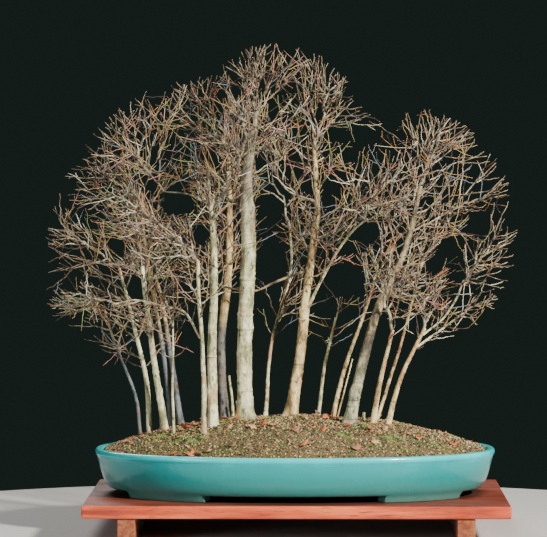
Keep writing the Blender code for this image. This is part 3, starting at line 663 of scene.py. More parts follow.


# Stems
# Nineteen slender trunks of smooth maple bark, cream where the sun has bleached it and grey-green or tan
# elsewhere, with faint ring scars where old shoots were cut, small knobs and a flared foot. Where stems stand
# in the shade of others their bark is painted darker as painted shade: blue-grey or grey-brown low on
# stem_01, stem_04, stem_06 and stem_09, and dark on the upper part of the leaning trunk.

AIR = 0.0003
UP = Vector((0.0, 0.0, 1.0))
FOOT_SINK = 0.003
STEMS = {
    "stem_01": (
        (-0.296, 0.040),
        ((-0.306, 0.253), (-0.341, 0.339)),
        (-0.366, 0.050, 0.419),
        (0.0036, 0.0020),
        0.3,
    ),
    "stem_02": (
        (-0.277, 0.000),
        ((-0.282, 0.275), (-0.302, 0.370)),
        (-0.334, 0.000, 0.497),
        (0.0055, 0.0026),
        0.4,
    ),
    "stem_03": (
        (-0.246, -0.020),
        ((-0.261, 0.286), (-0.273, 0.372)),
        (-0.288, -0.060, 0.502),
        (0.0070, 0.0038),
        0.4,
    ),
    "stem_04": (
        (-0.239, 0.080),
        ((-0.249, 0.298), (-0.288, 0.531)),
        (-0.294, 0.100, 0.625),
        (0.0056, 0.0028),
        0.4,
    ),
    "stem_05": (
        (-0.227, -0.090),
        ((-0.229, 0.271),),
        (-0.227, -0.110, 0.407),
        (0.0028, 0.0016),
        0.2,
    ),
    "stem_06": (
        (-0.218, 0.050),
        ((-0.237, 0.308), (-0.255, 0.417)),
        (-0.271, 0.120, 0.480),
        (0.0064, 0.0030),
        0.4,
    ),
    "stem_07": (
        (-0.169, -0.120),
        ((-0.170, 0.311), (-0.177, 0.442)),
        (-0.179, -0.170, 0.517),
        (0.0050, 0.0030),
        0.4,
    ),
    "stem_08": (
        (-0.154, -0.070),
        ((-0.156, 0.344), (-0.152, 0.510)),
        (-0.164, -0.040, 0.664),
        (0.0090, 0.0034),
        0.5,
    ),
    "stem_09": (
        (-0.134, 0.060),
        ((-0.142, 0.348), (-0.127, 0.507)),
        (-0.127, 0.070, 0.708),
        (0.0080, 0.0036),
        0.5,
    ),
    "stem_10": ((-0.120, 0.090), ((-0.122, 0.244),), (-0.128, 0.090, 0.287), (0.0032, 0.0022), 0.2),
    "main_trunk": (
        (-0.093, -0.030),
        ((-0.096, 0.343), (-0.088, 0.520), (-0.091, 0.664)),
        (-0.076, -0.020, 0.770),
        (0.0138, 0.0050),
        0.5,
    ),
    "stem_11": (
        (-0.057, 0.030),
        ((-0.046, 0.347), (-0.022, 0.433), (-0.008, 0.500)),
        (-0.012, 0.145, 0.584),
        (0.0037, 0.0022),
        0.5,
    ),
    "tall_trunk": (
        (-0.009, 0.010),
        ((0.010, 0.331), (0.024, 0.464), (0.042, 0.611)),
        (0.036, 0.030, 0.725),
        (0.0103, 0.0036),
        0.55,
    ),
    "stem_12": ((0.044, 0.050), ((0.057, 0.310),), (0.078, 0.060, 0.400), (0.0038, 0.0022), 0.3),
    "stem_13": (
        (0.072, 0.060),
        ((0.096, 0.304), (0.141, 0.428)),
        (0.160, 0.150, 0.497),
        (0.0046, 0.0024),
        0.3,
    ),
    "leaning_trunk": (
        (0.102, -0.070),
        ((0.128, 0.322), (0.163, 0.438), (0.208, 0.533)),
        (0.238, -0.050, 0.657),
        (0.0102, 0.0038),
        0.5,
    ),
    "stem_14": ((0.147, -0.050), ((0.160, 0.282),), (0.184, -0.080, 0.383), (0.0056, 0.0030), 0.4),
    "stem_15": (
        (0.155, 0.020),
        ((0.193, 0.320), (0.226, 0.436)),
        (0.237, 0.060, 0.488),
        (0.0034, 0.0020),
        0.3,
    ),
    "stem_16": ((0.175, -0.040), ((0.202, 0.295),), (0.245, -0.050, 0.385), (0.0052, 0.0032), 0.4),
}
# How far up a stem stays as thick as at its foot: 1 is an even taper.
THICK_STEMS = {"main_trunk": 5.0, "stem_09": 3.0, "stem_08": 1.8, "tall_trunk": 1.5, "leaning_trunk": 1.3}
FLARE_REACH = 2.0  # in radii of the foot
SHADED_STEMS = ("stem_01", "stem_04", "stem_06", "stem_09", "stem_10")
WARM_STEMS = ("tall_trunk", "stem_13", "stem_14", "stem_15", "stem_16")
RING_SPACING = 0.0022
WANDER = 0.0012  # how far a stem's middle strays from its smooth curve
# Old collars where whorls of shoots were cut, by their height.
OLD_COLLARS = {
    "main_trunk": (0.408, 0.478, 0.560),
    "tall_trunk": (0.300, 0.395, 0.520),
    "leaning_trunk": (0.335, 0.430, 0.545),
    "stem_08": (0.330, 0.460, 0.620),
    "stem_09": (0.430, 0.560),
    "stem_03": (0.300, 0.380),
}
COLLAR_HEIGHT = 0.11
FINER_ROUTE = 12  # steps of a drawn stem to each step of its solid
BARKS = {
    "pale_bark": ((0.78, 0.74, 0.47), (0.46, 0.46, 0.23), (0.20, 0.20, 0.09), (0.50, 0.30, 0.16)),
    "warm_bark": ((0.78, 0.64, 0.31), (0.46, 0.32, 0.12), (0.15, 0.095, 0.045), (0.46, 0.19, 0.09)),
    # partly the leaning trunk's own duller grey-green bark, partly painted shade: it turns dark on the upper
    # part, where other branches shade it
    "mixed_bark": ((0.46, 0.46, 0.29), (0.22, 0.23, 0.13), (0.08, 0.09, 0.055), (0.22, 0.15, 0.08)),
    # painted shadow: a dark grey-brown copy of the bark for the low part of stem_09, which the main trunk
    # shades; higher up it turns golden
    "brown_bark": ((0.17, 0.15, 0.125), (0.095, 0.085, 0.075), (0.038, 0.034, 0.032), (0.15, 0.11, 0.07)),
    # painted shade: a dark blue-grey copy of the bark for the low parts of stems that other stems shade;
    # higher up it turns tan
    "shaded_bark": ((0.15, 0.17, 0.17), (0.09, 0.105, 0.11), (0.035, 0.045, 0.05), (0.17, 0.12, 0.07)),
    "green_bark": ((0.70, 0.70, 0.30), (0.42, 0.44, 0.16), (0.18, 0.20, 0.07), (0.46, 0.36, 0.14)),
}
# Where the bark changes up a stem: from this height to that, and what it turns into.
TURNING_BARKS = {
    "pale_bark": (
        0.555,
        0.645,
        ((0.39, (0.05, 0.045, 0.03)), (0.48, (0.15, 0.13, 0.085)), (0.60, (0.31, 0.27, 0.18))),
    ),
    "shaded_bark": (
        0.34,
        0.42,
        ((0.36, (0.13, 0.085, 0.04)), (0.46, (0.42, 0.29, 0.12)), (0.55, (0.72, 0.56, 0.29))),
    ),
    "brown_bark": (
        0.37,
        0.43,
        ((0.36, (0.13, 0.085, 0.04)), (0.46, (0.44, 0.29, 0.10)), (0.55, (0.76, 0.58, 0.27))),
    ),
    "mixed_bark": (
        0.24,
        0.36,
        ((0.40, (0.04, 0.03, 0.02)), (0.49, (0.12, 0.09, 0.05)), (0.60, (0.42, 0.34, 0.17))),
    ),
}


def bark(name, bright, middle, dark, flush):
    """Smooth bark: clouds of tone, warm patches, dark rings across the stem and small pores."""
    finish, tree, shader = new_finish(name, 0.72)
    clouds = speckle(tree, (50.0, 50.0, 20.0), 6.0, 0.72)
    colour = tones(tree, clouds, ((0.37, dark), (0.465, middle), (0.56, bright), (0.85, bright)))
    patches = speckle(tree, (34.0, 34.0, 20.0), 4.0, 0.6)
    colour = laid_over(tree, colour, flush, mask(tree, patches, 0.52, 0.66))
    stains = speckle(tree, (130.0, 130.0, 60.0), 4.0, 0.7)
    colour = laid_over(tree, colour, tuple(0.6 * part for part in dark), mask(tree, stains, 0.54, 0.64))
    rings = speckle(tree, (8.0, 8.0, 190.0), 3.0)
    colour = laid_over(tree, colour, tuple(0.45 * part for part in dark), mask(tree, rings, 0.62, 0.76))
    pores = speckle(tree, (520.0, 520.0, 380.0), 2.0)
    colour = laid_over(tree, colour, tuple(0.6 * part for part in middle), mask(tree, pores, 0.62, 0.80))
    if name in TURNING_BARKS:
        begin, end, younger = TURNING_BARKS[name]
        place = tree.nodes.new("ShaderNodeTexCoord")
        axes = tree.nodes.new("ShaderNodeSeparateXYZ")
        tree.links.new(place.outputs["Object"], axes.inputs["Vector"])
        turned = mask(tree, axes.outputs["Z"], begin, end)
        colour = laid_over(tree, colour, tones(tree, clouds, younger), turned)
    tree.links.new(colour, shader.inputs["Base Color"])
    relief(tree, shader, pores, 0.0004)
    relief(tree, shader, stains, 0.0006)
    relief(tree, shader, rings, 0.0010)
    return finish


bark_finishes = {name: bark(name, *colours) for name, colours in BARKS.items()}


def smooth_route(points, count):
    """Points of one smooth curve that passes through all the given ones."""
    first = points[0] * 2 - points[1]
    last = points[-1] * 2 - points[-2]
    posts = [first, *points, last]
    route = []
    for step in range(count + 1):
        place = step / count * (len(points) - 1)
        begin = min(int(place), len(points) - 2)
        t = place - begin
        a, b, c, d = posts[begin : begin + 4]
        route.append(
            0.5 * (2 * b + (c - a) * t + (2 * a - 5 * b + 4 * c - d) * t**2 + (3 * b - a - 3 * c + d) * t**3)
        )
    return route


def foot_level(x, y, radius):
    """The lowest that the soil lies under a foot."""
    around = [math.tau * step / 8 for step in range(8)]
    return min(mound_height(x + radius * math.cos(a), y + radius * math.sin(a)) for a in around) - FOOT_SINK


def stem_route(name, finer=1):
    """The stem's middle line from its flat foot to its tip, with a radius at each point."""
    foot, bends, tip, radii, flare = STEMS[name]
    start = Vector((*foot, foot_level(*foot, radii[0] * (1 + flare) * 1.1 + 0.001) + AIR))
    tip = Vector(tip)
    posts = [start]
    for x, z in bends:
        share = (z - start.z) / (tip.z - start.z)
        posts.append(Vector((x, start.y + (tip.y - start.y) * share, z)))
    posts.append(tip)
    count = finer * (10 if radii[0] > 0.010 else 7 if radii[0] > 0.0045 else 5)
    route = smooth_route(posts, count)
    if finer == 1:
        first_leg = route[1] - route[0]
        swell = [route[0] + first_leg * (radii[0] * share / first_leg.length) for share in (0.8, 2.6)]
        route[1:1] = swell
    sizes = []
    for point in route:
        grown = (point.z - start.z) / (tip.z - start.z)
        taper = radii[0] + (radii[1] - radii[0]) * grown ** THICK_STEMS.get(name, 0.9)
        sizes.append(taper * (1 + flare * math.exp(-(point.z - start.z) / (FLARE_REACH * radii[0]))))
    return route, sizes


def even_steps(route, sizes, spacing):
    """The same line cut into steps of even length."""
    runs = [0.0]
    for a, b in zip(route, route[1:]):
        runs.append(runs[-1] + (b - a).length)
    count = max(8, round(runs[-1] / spacing))
    even = []
    widths = []
    begin = 0
    for step in range(count + 1):
        run = runs[-1] * step / count
        while begin < len(runs) - 2 and runs[begin + 1] < run:
            begin += 1
        share = (run - runs[begin]) / (runs[begin + 1] - runs[begin])
        even.append(route[begin].lerp(route[begin + 1], share))
        widths.append(sizes[begin] + (sizes[begin + 1] - sizes[begin]) * share)
    return even, widths, runs[-1]


def bark_skin(name, route, sizes, foot_roots):
    """A limb's bark in relief: shallow flutes, ring scars, small knobs and, at the foot, root flutes."""
    chance = random.Random(name + "/bark")
    line, widths, length = even_steps(route, sizes, RING_SPACING)
    sides = 32 if sizes[0] > 0.012 else 20 if sizes[0] > 0.006 else 14
    seed = chance.uniform(0, 50)
    scars = []
    run = chance.uniform(0.01, 0.03)
    while run < length:
        scars.append((run, chance.uniform(0.02, 0.06)))
        run += chance.uniform(0.014, 0.038)
    for height in OLD_COLLARS.get(name.removesuffix("_bark"), ()):
        step = next(number for number, point in enumerate(line) if point.z > height)
        scars.append((length * step / (len(line) - 1), COLLAR_HEIGHT))
    knobs = []
    for _ in range(int(length / 0.055)):
        knobs.append((chance.uniform(0.04, length), chance.uniform(0, math.tau), chance.uniform(0.12, 0.34)))
    root_phase = chance.uniform(0, math.tau)
    rings = []
    side = Vector((1.0, 0.3, 0.1))
    for step, (centre, radius) in enumerate(zip(line, widths)):
        ahead = line[min(step + 1, len(line) - 1)] - line[max(step - 1, 0)]
        ahead.normalize()
        side = (side - ahead * side.dot(ahead)).normalized()
        across = ahead.cross(side)
        run = length * step / (len(line) - 1)
        strays = WANDER * min(run / 0.04, (length - run) / 0.04, 1.0)
        centre = centre + side * strays * noise.noise((seed, 17 * run, 4.0))
        centre += across * strays * noise.noise((seed, 17 * run, 9.0))
        swell = 1.0
        for place, height in scars:
            away = run - place
            if abs(away) < 0.009:
                ridge = math.exp(-((away / 0.0026) ** 2))
                groove = math.exp(-(((away - 0.004) / 0.0018) ** 2))
                swell += height * (ridge - 0.5 * groove)
        ring = []
        for turn in range(sides):
            angle = math.tau * turn / sides
            x, y = math.cos(angle), math.sin(angle)
            width = swell + 0.11 * noise.noise((1.3 * x, 1.3 * y, seed + 18 * run))
            width += 0.055 * noise.noise((3 * x, 3 * y, seed + 55 * run))
            for place, bearing, height in knobs:
                away = (run - place) / (0.9 * radius)
                if abs(away) < 2:
                    gap = math.remainder(angle - bearing, math.tau) / 0.45
                    width += height * math.exp(-away * away - gap * gap)
            if foot_roots and run < 0.05:
                flute = max(0.0, math.cos(4 * angle + root_phase + 3 * noise.noise((x, y, seed))))
                width += foot_roots * flute * math.exp(-run / (0.8 * sizes[0]))
            ring.append(centre + (side * x + across * y) * radius * width)
        rings.append(ring)

    def corner(turn, run):
        return rings[round(run * (len(rings) - 1))][round(turn * sides) % sides]

    return rolled_sheet(name, sides, len(rings) - 1, corner)


limbs = {}
drawn_limbs = {}
for name in STEMS:
    limbs[name] = stem_route(name)
    drawn_limbs[name] = stem_route(name, FINER_ROUTE)
    kind = "shaded_bark" if name in SHADED_STEMS else "warm_bark" if name in WARM_STEMS else "pale_bark"
    kind = {"stem_09": "brown_bark", "stem_10": "green_bark", "leaning_trunk": "mixed_bark"}.get(name, kind)
    skin = bark_skin(name + "_bark", *drawn_limbs[name], 0.30 if STEMS[name][3][0] > 0.010 else 0.15)
    skin.data.materials.append(bark_finishes[kind])
    settle(skin, "bark_grey" if name in SHADED_STEMS else "bark_pale", name)


# Young shoots
# A thin shoot from the roots and two stubs left by the shears, at the feet of the stems.

SHOOTS = (
    ("thin_shoot", (0.080, 0.040), (0.110, 0.045, 0.322), (0.0017, 0.0012), "warm_bark"),
    ("pale_stub", (0.129, -0.020), (0.131, -0.020, 0.224), (0.0032, 0.0024), "pale_bark"),
    # the brown stub takes the shaded bark, with its painted shade
    ("brown_stub", (-0.107, 0.030), (-0.112, 0.030, 0.2425), (0.0030, 0.0022), "shaded_bark"),
)
SHOOT_STEPS = 12
for name, foot, tip, (thick, thin), kind in SHOOTS:
    start = Vector((*foot, mound_height(*foot) - FOOT_SINK))
    route = [start.lerp(Vector(tip), step / SHOOT_STEPS) for step in range(SHOOT_STEPS + 1)]
    widths = [thick + (thin - thick) * step / SHOOT_STEPS for step in range(SHOOT_STEPS + 1)]
    skin = bark_skin(name, route, widths, 0.0)
    skin.data.materials.append(bark_finishes[kind])
    settle(skin, "bark_pale")


# Boughs
# Side limbs that leave a stem at an old fork, each swollen where it grows out of the stem's bark.

BOUGHS = {
    "right_bough": (
        "tall_trunk",
        0.425,
        ((0.067, -0.010, 0.507), (0.104, -0.055, 0.563), (0.132, -0.090, 0.590)),
        (0.0042, 0.0024),
    ),
    "inner_bough": (
        "tall_trunk",
        0.624,
        ((-0.006, 0.020, 0.639), (-0.027, 0.010, 0.660), (-0.040, 0.000, 0.680)),
        (0.0030, 0.0020),
    ),
    "crest_bough": ("stem_08", 0.619, ((-0.200, -0.040, 0.637), (-0.251, -0.035, 0.643)), (0.0028, 0.0020)),
    "low_left_bough": (
        "stem_07",
        0.371,
        ((-0.207, -0.120, 0.418), (-0.253, -0.090, 0.430), (-0.298, -0.070, 0.439), (-0.335, -0.050, 0.431)),
        (0.0030, 0.0018),
    ),
    "crossing_bough": (
        "tall_trunk",
        0.489,
        ((-0.036, 0.020, 0.470), (-0.076, 0.020, 0.453), (-0.124, 0.015, 0.459), (-0.148, 0.010, 0.465)),
        (0.0034, 0.0020),
    ),
    "lower_arc": ("stem_16", 0.352, ((0.279, -0.050, 0.385), (0.305, -0.060, 0.405)), (0.0030, 0.0022)),
    "upper_arc": ("stem_16", 0.374, ((0.280, -0.035, 0.402), (0.301, -0.030, 0.432)), (0.0026, 0.0022)),
    "high_right_bough": ("stem_15", 0.478, ((0.249, 0.057, 0.517), (0.277, 0.050, 0.545)), (0.0018, 0.0017)),
    "front_bough": ("stem_08", 0.590, ((-0.136, -0.090, 0.636), (-0.109, -0.130, 0.680)), (0.0028, 0.0020)),
}
COLLAR = 0.35  # how much wider a bough is where it leaves its stem
SLIMMER = 0.72  # a drawn bough's thickness, as a share of its solid's


def bough_route(name, finer=1):
    """The bough's middle line from just clear of the limb that carries it, and its radii."""
    carrier, height, way, radii = BOUGHS[name]
    line, sizes = limbs[carrier]
    above = next(i for i, point in enumerate(line) if point.z > height)
    share = (height - line[above - 1].z) / (line[above].z - line[above - 1].z)
    root = line[above - 1].lerp(line[above], share)
    along = (line[above] - line[above - 1]).normalized()
    out = Vector(way[0]) - root
    out = (out - along * out.dot(along)).normalized()
    carrier_radius = sizes[above - 1] + (sizes[above] - sizes[above - 1]) * share
    start = root + out * (carrier_radius + AIR)
    posts = [start, *(Vector(point) for point in way)]
    count = finer * (2 * len(way) + 1)
    route = smooth_route(posts, count)
    widths = [radii[0] + (radii[1] - radii[0]) * step / count for step in range(count + 1)]
    return route, widths, root


for name in BOUGHS:
    limbs[name] = bough_route(name)[:2]
    route, widths, root = bough_route(name, FINER_ROUTE)
    drawn_limbs[name] = (route, widths)
    start = route[0]
    swells = [1 + COLLAR * math.exp(-(point - start).length / 0.006) for point in route]
    widths = [SLIMMER * width * swell for width, swell in zip(widths, swells)]
    skin = bark_skin(name + "_bark", [root.lerp(start, 0.3), *route], [widths[0], *widths], 0.0)
    # the crossing bough takes the leaning trunk's bark, with its painted shade
    skin.data.materials.append(bark_finishes["mixed_bark" if name == "crossing_bough" else "pale_bark"])
    settle(skin, "bark_pale", name)


# Twigs
# Every mass of the crown is one branch system: a stem on the tip of its limb, opposite pairs of side
# twigs turned a quarter at each node, and theirs. The old wood is grey and cream, the last years' is tan.

MASSES = {
    "low_left_twigs": ("stem_01", (-0.385, 0.036, 0.430), (0.110, 0.130, 0.095)),
    "mid_left_twigs": ("stem_02", (-0.400, 0.000, 0.545), (0.125, 0.160, 0.120)),
    "high_left_twigs": ("stem_04", (-0.335, 0.070, 0.655), (0.135, 0.170, 0.130)),
    "left_crest_twigs": ("crest_bough", (-0.262, -0.040, 0.740), (0.130, 0.180, 0.130)),
    "top_left_twigs": ("stem_09", (-0.165, 0.050, 0.800), (0.120, 0.180, 0.120)),
    "top_twigs": ("main_trunk", (-0.070, -0.030, 0.830), (0.120, 0.180, 0.130)),
    "top_right_twigs": ("tall_trunk", (0.055, 0.030, 0.795), (0.130, 0.180, 0.135)),
    "right_crest_twigs": ("leaning_trunk", (0.243, -0.040, 0.710), (0.125, 0.180, 0.120)),
    "high_right_twigs": ("high_right_bough", (0.320, 0.040, 0.640), (0.120, 0.160, 0.120)),
    "mid_right_twigs": ("upper_arc", (0.360, -0.020, 0.535), (0.115, 0.150, 0.110)),
    "low_right_twigs": ("lower_arc", (0.322, -0.065, 0.430), (0.095, 0.130, 0.085)),
    "under_right_twigs": ("stem_16", (0.245, -0.040, 0.455), (0.080, 0.130, 0.085)),
    "front_left_twigs": ("stem_07", (-0.255, -0.180, 0.590), (0.120, 0.140, 0.140)),
    "front_twigs": ("front_bough", (-0.085, -0.180, 0.755), (0.140, 0.140, 0.110)),
    "front_right_twigs": ("right_bough", (0.140, -0.170, 0.625), (0.130, 0.140, 0.130)),
    "back_left_twigs": ("stem_06", (-0.270, 0.180, 0.580), (0.150, 0.150, 0.160)),
    "back_twigs": ("stem_11", (-0.050, 0.190, 0.690), (0.170, 0.150, 0.180)),
    "back_right_twigs": ("stem_13", (0.195, 0.180, 0.610), (0.160, 0.150, 0.160)),
    "inner_right_twigs": ("stem_14", (0.160, -0.090, 0.485), (0.090, 0.120, 0.100)),
    "inner_twigs": ("inner_bough", (-0.035, -0.010, 0.700), (0.100, 0.150, 0.100)),
    "inner_left_twigs": ("stem_08", (-0.150, -0.060, 0.655), (0.100, 0.140, 0.100)),
    "under_left_twigs": ("low_left_bough", (-0.345, -0.085, 0.455), (0.095, 0.130, 0.095)),
    "under_middle_twigs": ("crossing_bough", (-0.180, 0.000, 0.500), (0.095, 0.130, 0.095)),
}
# The crown's outline is three domes: the left, the top over the tallest trunks, and the lower right.
CROWN_DOMES = (
    ((-0.160, 0.000, 0.500), (0.317, 0.288, 0.362)),
    ((-0.035, 0.000, 0.620), (0.216, 0.288, 0.305)),
    ((0.216, 0.000, 0.566), (0.207, 0.270, 0.237)),
)
CROWN_HEART = Vector((-0.020, 0.000, 0.450))
SPACE_WALL = 0.0024
GAPS = (
    (-0.222, 0.621, 0.030, 0.021),
    (-0.279, 0.657, 0.017, 0.013),
    (-0.338, 0.721, 0.009, 0.009),
    (-0.152, 0.702, 0.011, 0.015),
    (-0.038, 0.626, 0.030, 0.034),
    (-0.042, 0.788, 0.011, 0.019),
    (-0.063, 0.693, 0.009, 0.027),
    (-0.180, 0.564, 0.015, 0.015),
    (0.085, 0.748, 0.030, 0.009),
    (0.171, 0.731, 0.009, 0.009),
    (0.066, 0.649, 0.013, 0.009),
    (0.066, 0.621, 0.019, 0.013),
    (0.019, 0.655, 0.009, 0.009),
    (0.133, 0.565, 0.027, 0.021),
    (0.285, 0.712, 0.011, 0.008),
    (0.351, 0.573, 0.023, 0.015),
    (0.332, 0.651, 0.009, 0.008),
    (0.294, 0.541, 0.019, 0.015),
    (-0.047, 0.503, 0.027, 0.047),
    (0.095, 0.474, 0.038, 0.028),
    (0.095, 0.535, 0.019, 0.011),
    (0.266, 0.503, 0.015, 0.015),
    (0.199, 0.531, 0.008, 0.027),
    (-0.304, 0.455, 0.015, 0.019),
    (-0.336, 0.535, 0.013, 0.015),
)
GAP_RAGGEDNESS = 60.0
PAIR_PLACES = (0.20, 0.46, 0.72)
PAIR_SPACING = 0.075
SOURCE_ORDERS = 2
SOLID_RADII = (0.0022, 0.0016, 0.0012)
LENGTH_SHARES = ((1.0, 1.0), (0.70, 1.0), (0.62, 0.95))
SPREAD_ANGLES = ((0, 0), (38, 66), (34, 60))
LIFT = 0.16
OUTWARD = 0.25  # how strongly twigs turn away from the crown's heart
SHARPEST_TURN = 68
SHORTEST_TWIG = 0.014

# Between the solids' pairs stand more of the same, and orders 3 to 5 carry the rule on: the spacing of
# the pairs, the lengths of the twigs, and the share of them that has grown.
FINE_SPACING = {3: 0.020, 4: 0.018}
FINE_LENGTHS = {3: (0.024, 0.075), 4: (0.010, 0.032)}
FINE_SHARE = {3: 0.50, 4: 0.34}
# The crown is even: a block of air this wide takes the middle of one twig of an order.
BLOCKS = {1: 0.060, 2: 0.052, 3: 0.038, 4: 0.048}
THICKETS = 15.0  # how closely thick and thin places follow each other in the crown
THINNING = 1.1
LOW_SHARE = 0.45  # what is left of the fine twigs in the shade at the crown's foot
LOW_LEVEL = 0.40
LOW_FADE = 0.15
DENSE_AND_THIN = (
    (-0.210, 0.740, 0.075, 1.5),
    (-0.188, 0.675, 0.055, 1.0),
    (-0.290, 0.700, 0.050, -0.4),
    (-0.330, 0.440, 0.100, -0.8),
    (-0.410, 0.560, 0.050, -0.5),
    (-0.205, 0.480, 0.070, -0.6),
    (-0.130, 0.740, 0.050, -0.3),
    (-0.120, 0.640, 0.060, -0.5),
    (0.260, 0.560, 0.090, -0.4),
    (-0.060, 0.810, 0.050, -0.3),
    (-0.022, 0.730, 0.070, -0.65),
    (0.080, 0.870, 0.045, -0.8),
    (0.170, 0.630, 0.065, -0.7),
    (0.330, 0.640, 0.120, -0.85),
    (0.340, 0.430, 0.070, -0.4),
    (0.155, 0.740, 0.055, 2.8),
    (0.400, 0.520, 0.050, -0.6),
    (0.065, 0.400, 0.040, 3.0),
)
CLEAR_STEMS = {
    "stem_02": 0.420,
    "stem_03": 0.500,
    "stem_04": 0.600,
    "stem_07": 0.480,
    "stem_08": 0.628,
    "stem_09": 0.700,
    "main_trunk": 0.672,
    "tall_trunk": 0.690,
    "leaning_trunk": 0.640,
}
CLEAR_STEP = 0.004
FINE_OVERLAP = 0.030
EDGE_RAGGEDNESS = 0.10
EDGE_RAGS = 22.0
FINE_ANGLES = (24, 80)
FINE_LIFT = 0.10
FINE_OUTWARD = 0.06
DRAWN_RADII = (
    (None, 0.0009),
    (0.0017, 0.0006),
    (0.0012, 0.0006),
    (0.0008, 0.0005),
    (0.0006, 0.0004),
)
DRAWN_SIDES = (8, 6, 5, 4, 4)
DRAWN_STEPS = (14, 9, 7, 5, 3)
CROOKED = 0.014
TWIG_TONES = (
    ("golden_twig", (0.390, 0.270, 0.095), 27),
    ("orange_twig", (0.440, 0.185, 0.080), 13),
    # partly painted shade: brown wood darkened to stand for twigs in shade
    ("painted_shade_brown_twig", (0.060, 0.043, 0.036), 24),
    # painted shade: blue-grey young twigs stand for twigs in shade
    ("painted_shade_grey_twig", (0.190, 0.225, 0.250), 12),
    ("cream_twig", (0.680, 0.650, 0.480), 12),
    ("olive_twig", (0.240, 0.275, 0.100), 10),
    ("pink_twig", (0.430, 0.190, 0.180), 8),
)
BUD_TONES = (("bud_brown", (0.330, 0.150, 0.080), 50), ("bud_pink", (0.600, 0.300, 0.220), 50))
BUD_LENGTH = 0.0026
BUD_RADIUS = 0.0009


def growth(point):
    """How freely fine twigs grow at a place: less in the shade at the crown's foot, more in its thickets."""
    share = 1 + THINNING * noise.noise(point * THICKETS)
    share *= max(LOW_SHARE, min(1.0, LOW_SHARE + (1 - LOW_SHARE) * (point.z - LOW_LEVEL) / LOW_FADE))
    for x, z, size, change in DENSE_AND_THIN:
        share *= 1 + change * math.exp(-((point.x - x) ** 2 + (point.z - z) ** 2) / size**2)
    return share


def seen_from_front(point):
    """Where the point appears, seen from the front, on the upright plane through the trees."""
    share = -EYE.y / (point.y - EYE.y)
    return EYE.x + (point.x - EYE.x) * share, EYE.z + (point.z - EYE.z) * share


clear_steps = []
for name, top in CLEAR_STEMS.items():
    steps = {}
    for point, radius in zip(*even_steps(*drawn_limbs[name], CLEAR_STEP / 2)[:2]):
        if point.z < top:
            x, z = seen_from_front(point)
            steps[round(z / CLEAR_STEP)] = (x, point.y, radius)
    clear_steps.append(steps)


def hides_a_stem(point):
    """Whether the point, seen from the front, stands before one of the stems that are clear of twigs."""
    x, z = seen_from_front(point)
    for steps in clear_steps:
        stem_x, stem_y, radius = steps.get(round(z / CLEAR_STEP), (None, None, None))
        if stem_x is not None and point.y < stem_y and abs(x - stem_x) < radius + 0.0015:
            return True
    return False


def nearest_gap(a, b, c, d):
    """Shortest distance between the straight lines from a to b and from c to d."""
    u, v, w = b - a, d - c, a - c
    uu, vv, uv = u.dot(u), v.dot(v), u.dot(v)
    uw, vw = u.dot(w), v.dot(w)
    span = uu * vv - uv * uv
    s = min(max((uv * vw - vv * uw) / span, 0.0), 1.0) if span > 1e-12 else 0.0
    t = min(max((uv * s + vw) / vv, 0.0), 1.0)
    s = min(max((uv * t - uw) / uu, 0.0), 1.0)
    return (w + u * s - v * t).length


def in_sky_gap(point):
    """Whether the point, seen from the front, stands before or behind one of the crown's gaps."""
    x, z = seen_from_front(point)
    ragged = 1 + 0.6 * noise.noise(Vector((x, 0.0, z)) * GAP_RAGGEDNESS)
    return any(((x - gx) / rx) ** 2 + ((z - gz) / rz) ** 2 < ragged for gx, gz, rx, rz in GAPS)


def way_out(centre, half, start, heading):
    """How far it is from a point, along a heading, to the skin of an ellipsoid round it."""
    place = Vector([(start[i] - centre[i]) / half[i] for i in range(3)])
    pace = Vector([heading[i] / half[i] for i in range(3)])
    a, b, c = pace.dot(pace), place.dot(pace), place.dot(place) - 1
    if b * b <= a * c:
        return 0.0
    return max((math.sqrt(b * b - a * c) - b) / a, 0.0)


def to_the_edge(start, heading, fine):
    """How far it is along a heading to the crown's outline, which is ragged for the fine twigs."""
    shrink = 1.0
    if fine:
        shrink -= EDGE_RAGGEDNESS * max(0.0, 0.5 + noise.noise(start * EDGE_RAGS))
    domes = ((centre, [shrink * size for size in half]) for centre, half in CROWN_DOMES)
    return max(way_out(*dome, start, heading) for dome in domes)


class Space:
    """The room of one mass: an ellipsoid, cut off by the crown's outline and by its neighbours."""

    def __init__(self, name):
        self.name = name
        self.limb, centre, self.half = MASSES[name]
        self.centre = Vector(centre)
        self.walls = []
        own = (sum(self.half) / 3) ** 2
        for other, (_, middle, half) in MASSES.items():
            if other == name:
                continue
            toward = Vector(middle) - self.centre
            far = toward.length
            normal = toward / far
            cut = (far * far + own - (sum(half) / 3) ** 2) / (2 * far)
            self.walls.append((normal, self.centre.dot(normal) + cut - SPACE_WALL))
        self.outward = (self.centre - CROWN_HEART).normalized()

    def reach(self, start, heading, overlap=0.0):
        """How far a twig can run that way before it leaves the space, made wider by the overlap."""
        farthest = way_out(self.centre, [half + overlap for half in self.half], start, heading)
        farthest = min(farthest, to_the_edge(start, heading, overlap))
        for normal, offset in self.walls:
            room = offset + overlap - start.dot(normal)
            if room <= 0:
                return 0.0
            facing = heading.dot(normal)
            if facing > 0:
                farthest = min(farthest, room / facing)
        return farthest

    def stretches_near(self, start, everything):
        """The stretches of limb that a twig of this mass could meet, each with its radius."""
        margin = 0.035
        low = [min(self.centre[i] - self.half[i], start[i]) - margin for i in range(3)]
        high = [max(self.centre[i] + self.half[i], start[i]) + margin for i in range(3)]
        near = []
        for route, sizes in everything:
            for begin in range(len(route) - 1):
                a, b = route[begin], route[begin + 1]
                if all(max(a[i], b[i]) > low[i] and min(a[i], b[i]) < high[i] for i in range(3)):
                    near.append((a, b, max(sizes[begin], sizes[begin + 1])))
        return near


